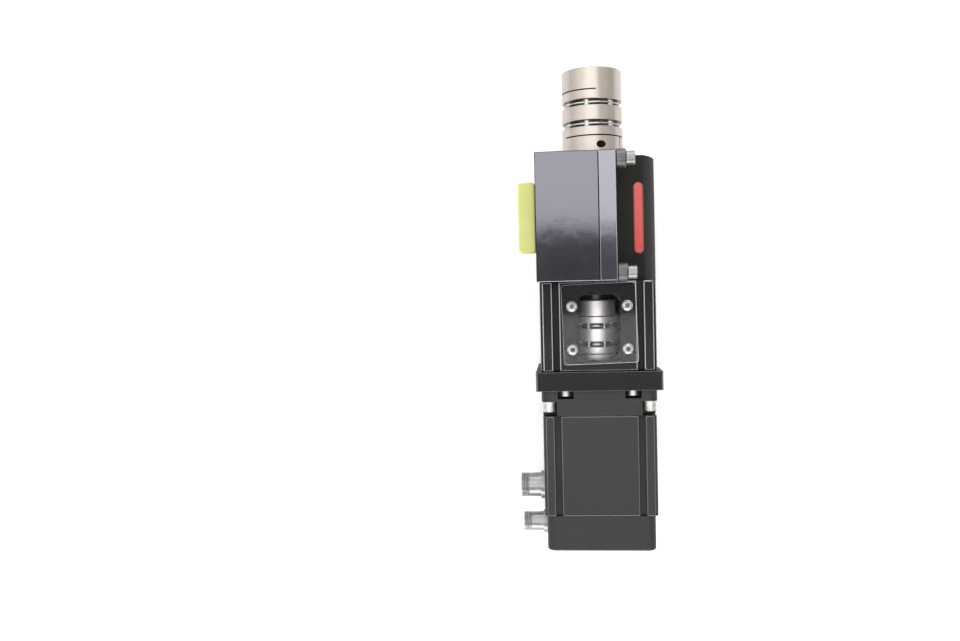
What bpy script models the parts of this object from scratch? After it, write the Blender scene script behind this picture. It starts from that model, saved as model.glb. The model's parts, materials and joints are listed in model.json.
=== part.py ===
"""Drive head of a belt-driven linear axis, lying on the underside of its housing.

A toothed belt pulley runs in a split aluminium housing. Its shaft carries a large double-disc
coupling on the +Y side, for a cross shaft, and a small one on the -Y side, inside a lantern with
a clear window, which joins it to a square servo motor. Metres, +Z up. The shaft axis runs along
Y, AXIS_HEIGHT above the origin, which is the middle of the housing's underside.
"""
import math
from collections import namedtuple

import bmesh
import bpy
from mathutils import Matrix, Vector

# Clearances
GAP = 0.0003                    # between pieces that touch
CUT_PAST = 0.002                # how far a cutter runs past the face it opens
BELT_SIDE_ROOM = 0.0025         # beside the belt in its tunnel
BELT_BACK_ROOM = 0.0027         # behind the belt in its tunnel
CHAMBER_ROOM = 0.0015           # round and beside the flanged pulley
COUPLING_ROOM = 0.008           # round the small coupling in the lantern
MERGE = 0.00005

# Housing
HOUSING_WIDTH = 0.120           # along the shaft
UNDERSIDE_ROOM = 0.0215         # from the nose's flat down to the underside
TOP_ROOM = 0.0429               # from the nose's flat up to the housing's top
SEAM_X = 0.002                  # where the end cap meets the block
BLOCK_LENGTH = 0.0587           # seam to rail face
CAP_FLANGE = 0.0159             # thickness of the end cap's flange
NOSE_WALL = 0.002055            # over the pulley chamber
NOSE_RADIUS = 0.060
EDGE_BREAK = 0.0006

# Pulley and belt
TEETH = 25
PITCH = 0.008
PITCH_LINE_OFFSET = 0.000686    # pitch line above the tooth tips
GROOVE_DEPTH = 0.0034
GROOVE_RADIUS = 0.0026
TIP_CORNER = 0.0004
BELT_WIDTH = 0.040
BELT_BACK = 0.0022              # belt back above the tooth tips
PULLEY_WIDTH = 0.042
RIM_HEIGHT = 0.0038             # flange rim above the tooth tips
RIM_THICKNESS = 0.0024

# Shaft, key and bearings
SEAT_RADIUS = 0.011             # where the pulley sits
JOURNAL_RADIUS = 0.010
LOWER_END_RADIUS = 0.0075
MOTOR_SHAFT_RADIUS = 0.0095
CROSS_SHAFT_RADIUS = 0.010
KEY_WIDTH = 0.006
KEY_LENGTH = 0.030
KEY_HEIGHT_IN_PULLEY = 0.0027
KEY_DEPTH_IN_SHAFT = 0.0033
BEARING_RADIUS = 0.0235
BEARING_WIDTH = 0.014
BEARING_OFFSET = 0.0297         # shaft middle to the bearing's inner side
INNER_RING_WALL = 0.0036
OUTER_RING_WALL = 0.0043
BALLS = 8
CAGE_WALL = 0.0012
CAGE_WIDTH = 0.0036
BEARING_SHOULDER = 0.0030       # of the lip between chamber and bearing seat
COVER_ROOM = 0.0055             # round the journal where it leaves the housing
SLEEVE_WALL = 0.0017
SHAFT_END_INSET = 0.002         # shaft end inside its hub's flange

# Couplings
Coupling = namedtuple("Coupling",
                      "name start side radius clamp slit base gap ring screw near_bore far_bore")
DISC_THICKNESS = 0.0012
DISC_INSET = 0.0010             # disc edge inside the coupling's outside
BOLTS = 6
WASHER_STEPS = 6
HUB_WEB_SHARE = 0.55            # the rest are shares of the coupling's own radius
GRIP_SHARE = 0.55
SEAT_SHARE = 0.12
WASHER_SHARE = 0.13
BOLT_CIRCLE_SHARE = 0.78
DISC_BORE_SHARE = 0.48
RING_BORE_SHARE = 0.45
CLAMP_HEAD = (1.6, 1.8)         # head radius and height over the thread's radius
CLAMP_SCREW_PLACE = 0.6         # share of the clamp's length from its outer end
UPPER_OUT = 0.001               # from the housing's side to the coupling
LOWER_OUT = 0.0183
UPPER = Coupling("upper", HOUSING_WIDTH / 2 + UPPER_OUT, 1, 0.02975, 0.0210, 0.0013, 0.0085, 0.0058,
                 0.0147, 0.0020, JOURNAL_RADIUS, CROSS_SHAFT_RADIUS)
LOWER = Coupling("lower", -HOUSING_WIDTH / 2 - LOWER_OUT, -1, 0.0200, 0.0154, 0.0013, 0.0063, 0.0052,
                 0.0129, 0.0020, LOWER_END_RADIUS, MOTOR_SHAFT_RADIUS)
UPPER_TURNS = ((math.radians(152), -1), (math.radians(207), 1))     # near and far: turn, screw side
LOWER_TURNS = ((math.radians(30), -1), (math.radians(150), 1))
UPPER_BOLT_TURN = math.radians(44)
LOWER_BOLT_TURN = 0.0

# Lantern and window
LANTERN_HALF = 0.055
LANTERN_LENGTH = 0.0852
PANEL_HALF = 0.0368
GROOVE_WIDTH = 0.0062
GROOVE_CUT = 0.0040
CORNER_CHAMFER = 0.0030
WINDOW_OPENING = (0.041, 0.062, 0.008)      # across, along the shaft, corner radius
WINDOW_CENTRE = (0.0015, 0.0437)            # across, and back from the lantern's start
WINDOW_PLATE = (0.070, 0.076, 0.003)        # across, along the shaft, corner radius
WINDOW_PLATE_THICKNESS = 0.003
WINDOW_PLATE_CENTRE = (0.0014, 0.0400)
WINDOW_TILT = math.radians(1.5)
WINDOW_SCREWS = (0.0520, 0.0410)            # spacing across and along the shaft
WINDOW_GRIP = 0.009                         # thread in the lantern

# Adapter plate and motor
PLATE_LIP = 0.005                           # beyond the motor's flange
PLATE_THICKNESS = 0.0182
PLATE_SCREW_X = 0.032
PLATE_SCREW_INSET = 0.0075                  # from the lantern's outside
PLATE_GRIP = 0.012                          # thread in the lantern
MOTOR_HALF = 0.054
MOTOR_FLANGE_LIP = 0.001                    # beyond the motor's body
MOTOR_FLANGE = 0.0100
MOTOR_FLANGE_CORNER = 0.008
MOTOR_NOTCH = 0.0135
MOTOR_BELL = 0.0140                         # end bell behind the flange
MOTOR_BODY = 0.0960
MOTOR_REAR = 0.0340
MOTOR_REAR_STEP = 0.002                     # rear cover inside the motor's body
MOTOR_SCREW_INSET = 0.006                   # from the body's outside
MOTOR_GRIP = 0.014                          # thread in the plate
PILOT_RADIUS = 0.0475
PILOT_HEIGHT = 0.005
POCKET_WIDTH = 0.0152
POCKET_DEPTH = 0.0075
STATOR_INSET = 0.0073                       # from the body's outside
STATOR_INNER = 0.0288
STATOR_END_ROOM = 0.004
AIR_GAP = 0.0008
ROTOR_END_ROOM = 0.006
ROTOR_TAIL = 0.014                          # shaft into the rear cover
MOTOR_BORE_ROOM = 0.003                     # round the motor's shaft
ENCODER_WALL = 0.012                        # from the rear cover's outside
REAR_WALL = 0.005
SOCKET_LENGTH = 0.024
SOCKET_FLOOR = 0.010
SOCKET_FLANGE = 0.004
POWER_SOCKET = (0.0200, 0.0140)             # from the body's rear end, flange radius
SIGNAL_SOCKET = (0.0170, 0.0115)            # from the rear cover's front, flange radius
SOCKET_STEP = 0.0018                        # flange radius over the shell's
SOCKET_WALL = 0.0018

# Screws: radius of the thread, radius and height of the head
M8 = (0.0040, 0.0065, 0.0080)
M8_WASHERED = (0.0040, 0.0065, 0.0098)      # head with the washer under it
M6 = (0.0030, 0.0050, 0.0055)
M5_BUTTON = (0.0025, 0.0053, 0.0029)
BUTTON_DOME = 0.0016
HEX_SHARE = 0.5                             # of the head's radius
HEX_FLOOR = 0.45                            # share of the head left under the socket
CAP_SCREW_INSET = (0.0073, 0.0094)          # from the housing's side and top
LOWER_CAP_SCREW_INSET = (0.0100, 0.0105)    # from the housing's side and underside
CAP_SCREW_DEPTH = 0.024                     # thread in the block
COLLAR = (0.0090, 0.0095)                   # radius and length

# Bumper and badge
BUMPER = (0.0160, 0.0655, 0.0300)           # out from the block, along the shaft, height
BUMPER_Y = 0.0008
BUMPER_DROP = 0.0402                        # from the housing's top to the bumper's base
SOFT_EDGE = 0.0015
BADGE = (0.0096, 0.0685, 0.0014)            # across, along the shaft, thickness
BADGE_CORNER = 0.0047
BADGE_INSET = 0.00012                       # from where the nose turns round

# Facets round a turn
FINE = 28
MEDIUM = 20
SMALL = 16
COARSE = 12
NOSE_STEPS = 10
BADGE_STEPS = 6
BALL_STEPS = (6, 5)

# Worked out from the above
BLOCK_LEFT = SEAM_X - BLOCK_LENGTH
HALF_WIDTH = HOUSING_WIDTH / 2
TIP_RADIUS = TEETH * PITCH / math.tau - PITCH_LINE_OFFSET
RIM_RADIUS = TIP_RADIUS + RIM_HEIGHT
CHAMBER_RADIUS = RIM_RADIUS + CHAMBER_ROOM
NOSE_HALF_HEIGHT = CHAMBER_RADIUS + NOSE_WALL
AXIS_HEIGHT = NOSE_HALF_HEIGHT + UNDERSIDE_ROOM     # shaft axis above the underside
HOUSING_TOP = NOSE_HALF_HEIGHT + TOP_ROOM           # above the shaft axis
CAP_SCREW_Y = HALF_WIDTH - CAP_SCREW_INSET[0]
CAP_SCREW_Z = HOUSING_TOP - CAP_SCREW_INSET[1]
LOWER_CAP_SCREW_Y = HALF_WIDTH - LOWER_CAP_SCREW_INSET[0]
LOWER_CAP_SCREW_Z = LOWER_CAP_SCREW_INSET[1] - AXIS_HEIGHT
BUMPER_BASE = HOUSING_TOP - BUMPER_DROP
BADGE_X = math.sqrt(NOSE_RADIUS**2 - NOSE_HALF_HEIGHT**2) - BADGE_INSET - BADGE[0] / 2
LIP_RADIUS = BEARING_RADIUS - BEARING_SHOULDER
COVER_BORE = JOURNAL_RADIUS + COVER_ROOM
MOTOR_FLANGE_HALF = MOTOR_HALF + MOTOR_FLANGE_LIP
PLATE_HALF = MOTOR_FLANGE_HALF + PLATE_LIP
PLATE_SCREW_Z = LANTERN_HALF - PLATE_SCREW_INSET
MOTOR_REAR_HALF = MOTOR_HALF - MOTOR_REAR_STEP
MOTOR_SCREW_OFFSET = MOTOR_HALF - MOTOR_SCREW_INSET
STATOR_OUTER = MOTOR_HALF - STATOR_INSET
ROTOR_RADIUS = STATOR_INNER - AIR_GAP
MOTOR_BORE = MOTOR_SHAFT_RADIUS + MOTOR_BORE_ROOM
ENCODER_ROOM_RADIUS = MOTOR_REAR_HALF - ENCODER_WALL
CHAMBER_HALF = PULLEY_WIDTH / 2 + RIM_THICKNESS + 2 * GAP + CHAMBER_ROOM
BEARING_END = BEARING_OFFSET + BEARING_WIDTH
LANTERN_START = -HALF_WIDTH - GAP
LANTERN_END = LANTERN_START - LANTERN_LENGTH
PLATE_START = LANTERN_END - GAP
PLATE_END = PLATE_START - PLATE_THICKNESS
FLANGE_START = PLATE_END - GAP
FLANGE_END = FLANGE_START - MOTOR_FLANGE
BELL_END = FLANGE_END - MOTOR_BELL
BODY_START = BELL_END - GAP
BODY_END = BODY_START - MOTOR_BODY
REAR_START = BODY_END - GAP
REAR_END = REAR_START - MOTOR_REAR
NEAR_HOUSING = BEARING_END + GAP
LANTERN_BORE = LOWER.radius + COUPLING_ROOM
ALONG_Y = Vector((0, 1, 0))
SIDES = (("upper", 1), ("lower", -1))

for old in list(bpy.data.objects):
    bpy.data.objects.remove(old, do_unlink=True)

parts = bpy.data.collections.new("belt_drive_head")
cutters = bpy.data.collections.new("cutters")
bpy.context.scene.collection.children.link(parts)
bpy.context.scene.collection.children.link(cutters)

axis = bpy.data.objects.new("shaft_axis", None)
axis.location = (0, 0, AXIS_HEIGHT)
parts.objects.link(axis)


# ---------------------------------------------------------------- materials

def finish(name, colour, roughness, metallic):
    """A plain Principled material."""
    made = bpy.data.materials.new(name)
    made.use_nodes = True
    shader = made.node_tree.nodes["Principled BSDF"]
    shader.inputs["Base Color"].default_value = (*colour, 1.0)
    shader.inputs["Roughness"].default_value = roughness
    shader.inputs["Metallic"].default_value = metallic
    return made


BLACK_ANODISED = finish("black_anodised", (0.020, 0.020, 0.024), 0.28, 0.6)
BLACK_PLATE = finish("black_plate", (0.012, 0.012, 0.013), 0.40, 0.5)
MOTOR_PAINT = finish("motor_paint", (0.055, 0.055, 0.055), 0.48, 0.1)
CHAMPAGNE = finish("champagne_anodised", (0.60, 0.53, 0.46), 0.30, 0.9)
STEEL = finish("bright_steel", (0.62, 0.61, 0.60), 0.25, 1.0)
DARK_STEEL = finish("dark_steel", (0.16, 0.16, 0.16), 0.40, 0.9)
PULLEY_ALLOY = finish("pulley_alloy", (0.55, 0.55, 0.56), 0.35, 0.9)
BUMPER_RUBBER = finish("bumper_polyurethane", (0.62, 0.66, 0.12), 0.40, 0.0)
BADGE_RED = finish("badge_red", (0.62, 0.05, 0.03), 0.30, 0.0)
CLEAR_PLASTIC = finish("clear_plastic", (0.10, 0.11, 0.12), 0.08, 0.0)
CONNECTOR_METAL = finish("connector_metal", (0.20, 0.20, 0.21), 0.35, 0.8)
LAMINATION = finish("lamination", (0.30, 0.30, 0.31), 0.50, 0.9)


# ---------------------------------------------------------------- modelling helpers

def add(name, mesh, material=None, parent=axis):
    """Put a mesh in the model, or among the cutters when it has no material."""
    made = bpy.data.objects.new(name, mesh)
    made.parent = parent
    if material is None:
        cutters.objects.link(made)
        made.hide_render = True
        made.display_type = "WIRE"
        return made
    parts.objects.link(made)
    if not mesh.materials:
        mesh.materials.append(material)
    return made


def aimed(at, direction, turn=0.0):
    """Place that turns local +Z to direction."""
    facing = Vector(direction).to_track_quat("Z", "Y").to_matrix().to_4x4()
    return Matrix.Translation(Vector(at)) @ facing @ Matrix.Rotation(turn, 4, "Z")


def mesh_from(shape, name):
    """Close a bmesh into a mesh."""
    bmesh.ops.recalc_face_normals(shape, faces=shape.faces)
    mesh = bpy.data.meshes.new(name)
    shape.to_mesh(mesh)
    shape.free()
    return mesh


def box(name, low, high, material=None, parent=axis, edge=0.0):
    """A block between two corners, with its edges broken when edge is given."""
    size = Vector(high) - Vector(low)
    shape = bmesh.new()
    bmesh.ops.create_cube(shape, size=1.0)
    bmesh.ops.scale(shape, vec=size, verts=shape.verts)
    made = add(name, mesh_from(shape, name), material, parent)
    made.location = (Vector(low) + Vector(high)) / 2
    if edge:
        bevel = made.modifiers.new("edges", "BEVEL")
        bevel.width = edge
        bevel.segments = 1
    return made


def turned(name, profile, material=None, at=(0, 0, 0), direction=ALONG_Y, turn=0.0,
           steps=MEDIUM, ring=False, parent=axis):
    """A turned piece. profile is (radius, place along direction), down the outside from the far end."""
    edges = [(i, i + 1) for i in range(len(profile) - 1)]
    if ring:
        edges.append((len(profile) - 1, 0))
    mesh = bpy.data.meshes.new(name)
    mesh.from_pydata([(radius, 0, along) for radius, along in profile], edges, [])
    made = add(name, mesh, material, parent)
    made.matrix_local = aimed(at, direction, turn)
    screw = made.modifiers.new("turn", "SCREW")
    screw.steps = steps
    screw.render_steps = steps
    screw.use_merge_vertices = True
    screw.merge_threshold = MERGE
    return made


def tube(name, outer, inner, low, high, material=None, chamfer=0.0, **place):
    """A turned ring between two places along its axis."""
    profile = [(outer - chamfer, high), (outer, high - chamfer), (outer, low + chamfer),
               (outer - chamfer, low), (inner, low), (inner, high)]
    if not chamfer:
        profile = [(outer, high), (outer, low), (inner, low), (inner, high)]
    return turned(name, profile, material, ring=True, **place)


def rod(name, radius, low, high, material=None, **place):
    """A plain cylinder between two places along its axis."""
    return turned(name, [(0, high), (radius, high), (radius, low), (0, low)], material, **place)


def flat_mesh(name, loops, thickness):
    """A plate with a flat outline and any holes, centred on its own XY plane."""
    curve = bpy.data.curves.new(name, "CURVE")
    curve.dimensions = "2D"
    curve.fill_mode = "BOTH"
    curve.extrude = thickness / 2
    for loop in loops:
        spline = curve.splines.new("POLY")
        spline.points.add(len(loop) - 1)
        for point, (x, y) in zip(spline.points, loop):
            point.co = (x, y, 0, 1)
        spline.use_cyclic_u = True
    guide = bpy.data.objects.new(name, curve)
    cutters.objects.link(guide)
    graph = bpy.context.evaluated_depsgraph_get()
    filled = bpy.data.meshes.new_from_object(guide.evaluated_get(graph))
    bpy.data.objects.remove(guide)
    shape = bmesh.new()
    shape.from_mesh(filled)
    bmesh.ops.remove_doubles(shape, verts=shape.verts, dist=MERGE)
    return mesh_from(shape, name)


def section(name, loops, low, high, material=None, parent=axis):
    """An outline in X and Z carried along Y from low to high."""
    made = add(name, flat_mesh(name, loops, high - low), material, parent)
    made.location = (0, (low + high) / 2, 0)
    made.rotation_euler = (math.pi / 2, 0, 0)
    return made


def combine(piece, other, operation="DIFFERENCE"):
    """Cut other out of piece, or join it on."""
    boolean = piece.modifiers.new(other.name, "BOOLEAN")
    boolean.operation = operation
    boolean.solver = "EXACT"
    boolean.object = other


def settled(piece):
    """The piece's mesh with its modifiers applied."""
    graph = bpy.context.evaluated_depsgraph_get()
    return bpy.data.meshes.new_from_object(piece.evaluated_get(graph))


def smooth(piece, angle=math.radians(35)):
    """Shade round walls smooth and keep real edges sharp."""
    piece.data.shade_smooth()
    piece.data.set_sharp_from_angle(angle=angle)


def rounded_rectangle(width, height, radius, steps=4):
    """Corners of a rectangle with round corners, about its middle."""
    points = []
    for quarter, (sx, sy) in enumerate(((1, 1), (-1, 1), (-1, -1), (1, -1))):
        centre = Vector((sx * (width / 2 - radius), sy * (height / 2 - radius)))
        for step in range(steps + 1):
            angle = (quarter + step / steps) * math.pi / 2
            points.append(centre + radius * Vector((math.cos(angle), math.sin(angle))))
    return points


def four_sides(side):
    """One side's points carried round the four sides of a square."""
    points = []
    for quarter in range(4):
        turn = Matrix.Rotation(-quarter * math.pi / 2, 2)
        points += [turn @ Vector(point) for point in side]
    return points


def grooved_square(half, panel, groove, depth, chamfer):
    """A square section with a groove at each side of its four flat panels."""
    side = [(-half + chamfer, half)]
    for near, far in ((-panel - groove, -panel), (panel, panel + groove)):
        side += [(near, half), (near, half - depth), (far, half - depth), (far, half)]
    side.append((half - chamfer, half))
    return four_sides(side)


def notched_square(half, notch):
    """A square section with a square notch in each corner."""
    return four_sides([(-half + notch, half), (half - notch, half), (half - notch, half - notch)])


def circle(radius, steps=FINE):
    """Points round a circle."""
    return [Vector((radius * math.cos(a), radius * math.sin(a)))
            for a in (math.tau * step / steps for step in range(steps))]


# ---------------------------------------------------------------- fasteners

def screw_mesh(name, size, length, dome=0.0):
    """A socket screw along +Z: seat of the head at 0, thread below, hex socket on top."""
    thread, head, height = size
    profile = [(0, height), (head - dome, height), (head, height - max(dome, GAP)), (head, 0),
               (thread, 0), (thread, -length), (0, -length)]
    blank = turned(name + "_blank", profile, steps=COARSE)
    key = head * HEX_SHARE
    floor = height * HEX_FLOOR
    socket = turned(name + "_socket", [(0, height + CUT_PAST), (key, height + CUT_PAST), (key, floor),
                                       (0, floor)], steps=6)
    combine(blank, socket)
    mesh = settled(blank)
    for used in (blank, socket):
        bpy.data.objects.remove(used)
    mesh.shade_smooth()
    mesh.set_sharp_from_angle(angle=math.radians(35))
    return mesh


def fasten(name, mesh, material, at, direction, parent=axis):
    """Place a screw with its head's seat at a point, its head towards direction."""
    made = add(name, mesh, material, parent)
    made.matrix_local = aimed(at, direction)
    return made


def clearance_hole(name, size, at, direction, length, head_room=0.0):
    """Cutter for a screw's hole: thread below its seat, and head_room above it if given."""
    thread, head, _ = size
    profile = [(0, head_room), (head + GAP, head_room), (head + GAP, -GAP), (thread + GAP, -GAP),
               (thread + GAP, -length), (0, -length)]
    if not head_room:
        profile = [(0, CUT_PAST), (thread + GAP, CUT_PAST), (thread + GAP, -length), (0, -length)]
    return turned(name, profile, at=at, direction=direction, steps=COARSE)


# ---------------------------------------------------------------- housing

def housing_bore():
    """Cutter for the pulley chamber, both bearing seats and the shaft openings."""
    seat = BEARING_RADIUS + GAP
    upper = [(COVER_BORE, HALF_WIDTH + CUT_PAST), (COVER_BORE, NEAR_HOUSING), (seat, NEAR_HOUSING),
             (seat, BEARING_OFFSET - GAP), (LIP_RADIUS, BEARING_OFFSET - GAP),
             (LIP_RADIUS, CHAMBER_HALF), (CHAMBER_RADIUS, CHAMBER_HALF)]
    lower = [(radius, -along) for radius, along in reversed(upper)]
    ends = HALF_WIDTH + CUT_PAST
    return turned("bore", [(0, ends)] + upper + lower + [(0, -ends)], steps=FINE)


def belt_tunnel():
    """Cutter for the belt's way out to the rail."""
    across = BELT_WIDTH / 2 + BELT_SIDE_ROOM
    height = TIP_RADIUS + BELT_BACK + BELT_BACK_ROOM
    return box("tunnel", (BLOCK_LEFT - CUT_PAST, -across, -height), (SEAM_X + CUT_PAST, across, height))


def cap_outline():
    """Side view of the end cap: a full-height flange and a nose round the pulley."""
    left = SEAM_X + GAP / 2
    right = SEAM_X + CAP_FLANGE
    widest = math.asin(NOSE_HALF_HEIGHT / NOSE_RADIUS)
    nose = []
    for step in range(NOSE_STEPS + 1):
        angle = widest * (1 - 2 * step / NOSE_STEPS)
        nose.append((NOSE_RADIUS * math.cos(angle), NOSE_RADIUS * math.sin(angle)))
    return [(left, HOUSING_TOP), (right, HOUSING_TOP), (right, NOSE_HALF_HEIGHT), *nose,
            (right, -NOSE_HALF_HEIGHT), (right, -AXIS_HEIGHT), (left, -AXIS_HEIGHT)]


def build_housing():
    """The block, its end cap and the screws that hold them together."""
    block = box("main_block", (BLOCK_LEFT, -HALF_WIDTH, -AXIS_HEIGHT),
                (SEAM_X - GAP / 2, HALF_WIDTH, HOUSING_TOP), BLACK_ANODISED, edge=EDGE_BREAK)
    cap = section("end_cap", [cap_outline()], -HALF_WIDTH, HALF_WIDTH, BLACK_ANODISED)
    bore = housing_bore()
    combine(block, bore)
    combine(block, belt_tunnel())
    combine(cap, bore)
    reach = CAP_FLANGE + CAP_SCREW_DEPTH
    collar_radius, collar_length = COLLAR
    seat_x = SEAM_X + CAP_FLANGE + GAP
    long_screw = screw_mesh("cap_screw_long", M8, reach + collar_length + GAP)
    short_screw = screw_mesh("cap_screw_short", M8, reach)
    out = (1, 0, 0)
    for number, side in enumerate((1, -1), 1):
        hole = (seat_x, side * CAP_SCREW_Y, CAP_SCREW_Z)
        seat = (seat_x + collar_length + GAP, side * CAP_SCREW_Y, CAP_SCREW_Z)
        low = (seat_x, side * LOWER_CAP_SCREW_Y, LOWER_CAP_SCREW_Z)
        fasten(f"cap_screw_{number}", long_screw, STEEL, seat, out)
        fasten(f"cap_screw_{number + 2}", short_screw, STEEL, low, out)
        tube(f"screw_collar_{number}", collar_radius, M8[0] + GAP, 0, collar_length, DARK_STEEL,
             at=hole, direction=out, steps=MEDIUM)
        for place in (hole, low):
            drill = clearance_hole(f"cap_hole_{number}", M8, place, out, reach + 2 * GAP)
            combine(block, drill)
            combine(cap, drill)


def build_bumper_and_badge():
    """The soft stop over the rail, and a plain badge on the end cap."""
    out, along, height = BUMPER
    box("bumper", (BLOCK_LEFT - GAP - out, BUMPER_Y - along / 2, BUMPER_BASE),
        (BLOCK_LEFT - GAP, BUMPER_Y + along / 2, BUMPER_BASE + height), BUMPER_RUBBER, edge=SOFT_EDGE)
    across, length, thickness = BADGE
    pill = rounded_rectangle(across, length, BADGE_CORNER, steps=BADGE_STEPS)
    badge = add("badge", flat_mesh("badge", [pill], thickness), BADGE_RED)
    badge.location = (BADGE_X, 0, NOSE_HALF_HEIGHT + GAP + thickness / 2)


# ---------------------------------------------------------------- pulley and shaft

def pulley_outline():
    """Tips and round grooves of the toothed rim."""
    points = []
    centre = TIP_RADIUS - GROOVE_DEPTH + GROOVE_RADIUS
    mouth = (GROOVE_RADIUS + TIP_CORNER) / TIP_RADIUS
    for tooth in range(TEETH):
        middle = math.tau * tooth / TEETH
        spoke = Vector((math.cos(middle), math.sin(middle)))
        across = Vector((-spoke.y, spoke.x))
        first = middle - mouth
        last = middle + mouth
        points.append(TIP_RADIUS * Vector((math.cos(first), math.sin(first))))
        for step in range(6):
            angle = math.pi * (step / 5 - 0.5)
            points.append(spoke * (centre - GROOVE_RADIUS * math.cos(angle))
                          + across * GROOVE_RADIUS * math.sin(angle))
        points.append(TIP_RADIUS * Vector((math.cos(last), math.sin(last))))
    return points


def keyed_bore():
    """The pulley's bore, with its keyway at the top."""
    radius = SEAT_RADIUS + GAP
    half = KEY_WIDTH / 2 + GAP
    start = math.asin(half / radius)
    top = SEAT_RADIUS + KEY_HEIGHT_IN_PULLEY + GAP
    points = [Vector((half, top)), Vector((-half, top))]
    for step in range(MEDIUM + 1):
        angle = math.pi / 2 + start + (math.tau - 2 * start) * step / MEDIUM
        points.append(radius * Vector((math.cos(angle), math.sin(angle))))
    return points


def build_pulley():
    """The toothed pulley and its two rims."""
    half = PULLEY_WIDTH / 2
    section("pulley", [pulley_outline(), keyed_bore()], -half, half, PULLEY_ALLOY)
    for name, side in SIDES:
        low, high = sorted((side * (half + GAP), side * (half + GAP + RIM_THICKNESS)))
        tube(f"pulley_rim_{name}", RIM_RADIUS, SEAT_RADIUS + GAP, low, high, STEEL, steps=FINE)


def build_shaft():
    """The stepped shaft, its key and the spacer sleeves beside the bearings."""
    upper_end = UPPER.start + UPPER.clamp + UPPER.slit + UPPER.base - SHAFT_END_INSET
    lower_end = LOWER.start - LOWER.clamp - LOWER.slit - LOWER.base + SHAFT_END_INSET
    shoulder = BEARING_OFFSET - GAP
    step_down = LOWER.start + GAP
    profile = [(0, upper_end), (JOURNAL_RADIUS, upper_end), (JOURNAL_RADIUS, shoulder),
               (SEAT_RADIUS, shoulder), (SEAT_RADIUS, -shoulder), (JOURNAL_RADIUS, -shoulder),
               (JOURNAL_RADIUS, step_down), (LOWER_END_RADIUS, step_down),
               (LOWER_END_RADIUS, lower_end), (0, lower_end)]
    shaft = turned("pulley_shaft", profile, STEEL, steps=MEDIUM)
    key_floor = SEAT_RADIUS - KEY_DEPTH_IN_SHAFT
    key_half = KEY_WIDTH / 2
    end = KEY_LENGTH / 2
    box("shaft_key", (-key_half, -end, key_floor),
        (key_half, end, SEAT_RADIUS + KEY_HEIGHT_IN_PULLEY), DARK_STEEL)
    combine(shaft, box("keyway", (-key_half - GAP, -end - GAP, key_floor - GAP),
                       (key_half + GAP, end + GAP, SEAT_RADIUS + CUT_PAST)))
    reach = {"upper": UPPER.start - GAP, "lower": -LOWER.start - GAP}
    for name, side in SIDES:
        low, high = sorted((side * NEAR_HOUSING, side * reach[name]))
        tube(f"spacer_sleeve_{name}", JOURNAL_RADIUS + GAP + SLEEVE_WALL, JOURNAL_RADIUS + GAP,
             low, high, DARK_STEEL)


def build_bearing(name, side):
    """A deep-groove ball bearing: inner ring, outer ring, and balls in their cage."""
    low, high = sorted((side * BEARING_OFFSET, side * BEARING_END))
    inner = JOURNAL_RADIUS + GAP
    race_in = inner + INNER_RING_WALL
    race_out = BEARING_RADIUS - OUTER_RING_WALL
    tube(f"bearing_inner_{name}", race_in, inner, low, high, STEEL)
    tube(f"bearing_outer_{name}", BEARING_RADIUS, race_out, low, high, STEEL)
    track = (race_in + race_out) / 2
    middle = (low + high) / 2
    cage = tube(f"ball_cage_{name}", track + CAGE_WALL / 2, track - CAGE_WALL / 2,
                middle - CAGE_WIDTH / 2, middle + CAGE_WIDTH / 2, PULLEY_ALLOY, steps=SMALL)
    shape = bmesh.new()
    for ball in range(BALLS):
        angle = math.tau * (ball + 0.5) / BALLS
        place = Matrix.Translation((track * math.cos(angle), middle, track * math.sin(angle)))
        bmesh.ops.create_uvsphere(shape, u_segments=BALL_STEPS[0], v_segments=BALL_STEPS[1],
                                  radius=(race_out - race_in) / 2 - GAP, matrix=place)
    balls = add(f"balls_{name}", mesh_from(shape, "balls"))
    combine(cage, balls, "UNION")


# ---------------------------------------------------------------- couplings

def hub(made_of, name, bore, at, direction, turn, screw_side):
    """A clamping hub: its clamp end at 0, a slit behind the clamp, then the flange for the discs."""
    radius = made_of.radius
    length = made_of.clamp + made_of.slit + made_of.base
    piece = tube(name, radius, bore + GAP, 0, length, CHAMPAGNE, chamfer=EDGE_BREAK, at=at,
                 direction=direction, turn=turn, steps=FINE)
    past = radius + CUT_PAST
    combine(piece, box(name + "_slit", (-HUB_WEB_SHARE * radius, -past, made_of.clamp),
                       (past, past, made_of.clamp + made_of.slit), parent=piece))
    combine(piece, box(name + "_split", (0, -made_of.slit / 2, -CUT_PAST),
                       (past, made_of.slit / 2, made_of.clamp + made_of.slit / 2), parent=piece))
    size = (made_of.screw, made_of.screw * CLAMP_HEAD[0], made_of.screw * CLAMP_HEAD[1])
    seat = ((radius + bore) / 2, screw_side * radius * SEAT_SHARE, made_of.clamp * CLAMP_SCREW_PLACE)
    out = (0, screw_side, 0)
    grip = radius * GRIP_SHARE
    drill = clearance_hole(name + "_drill", size, seat, out, grip + 2 * GAP, head_room=radius)
    drill.parent = piece
    combine(piece, drill)
    fasten(name.replace("hub", "clamp_screw"), screw_mesh(name + "_screw", size, grip), DARK_STEEL,
           seat, out, parent=piece)


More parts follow.
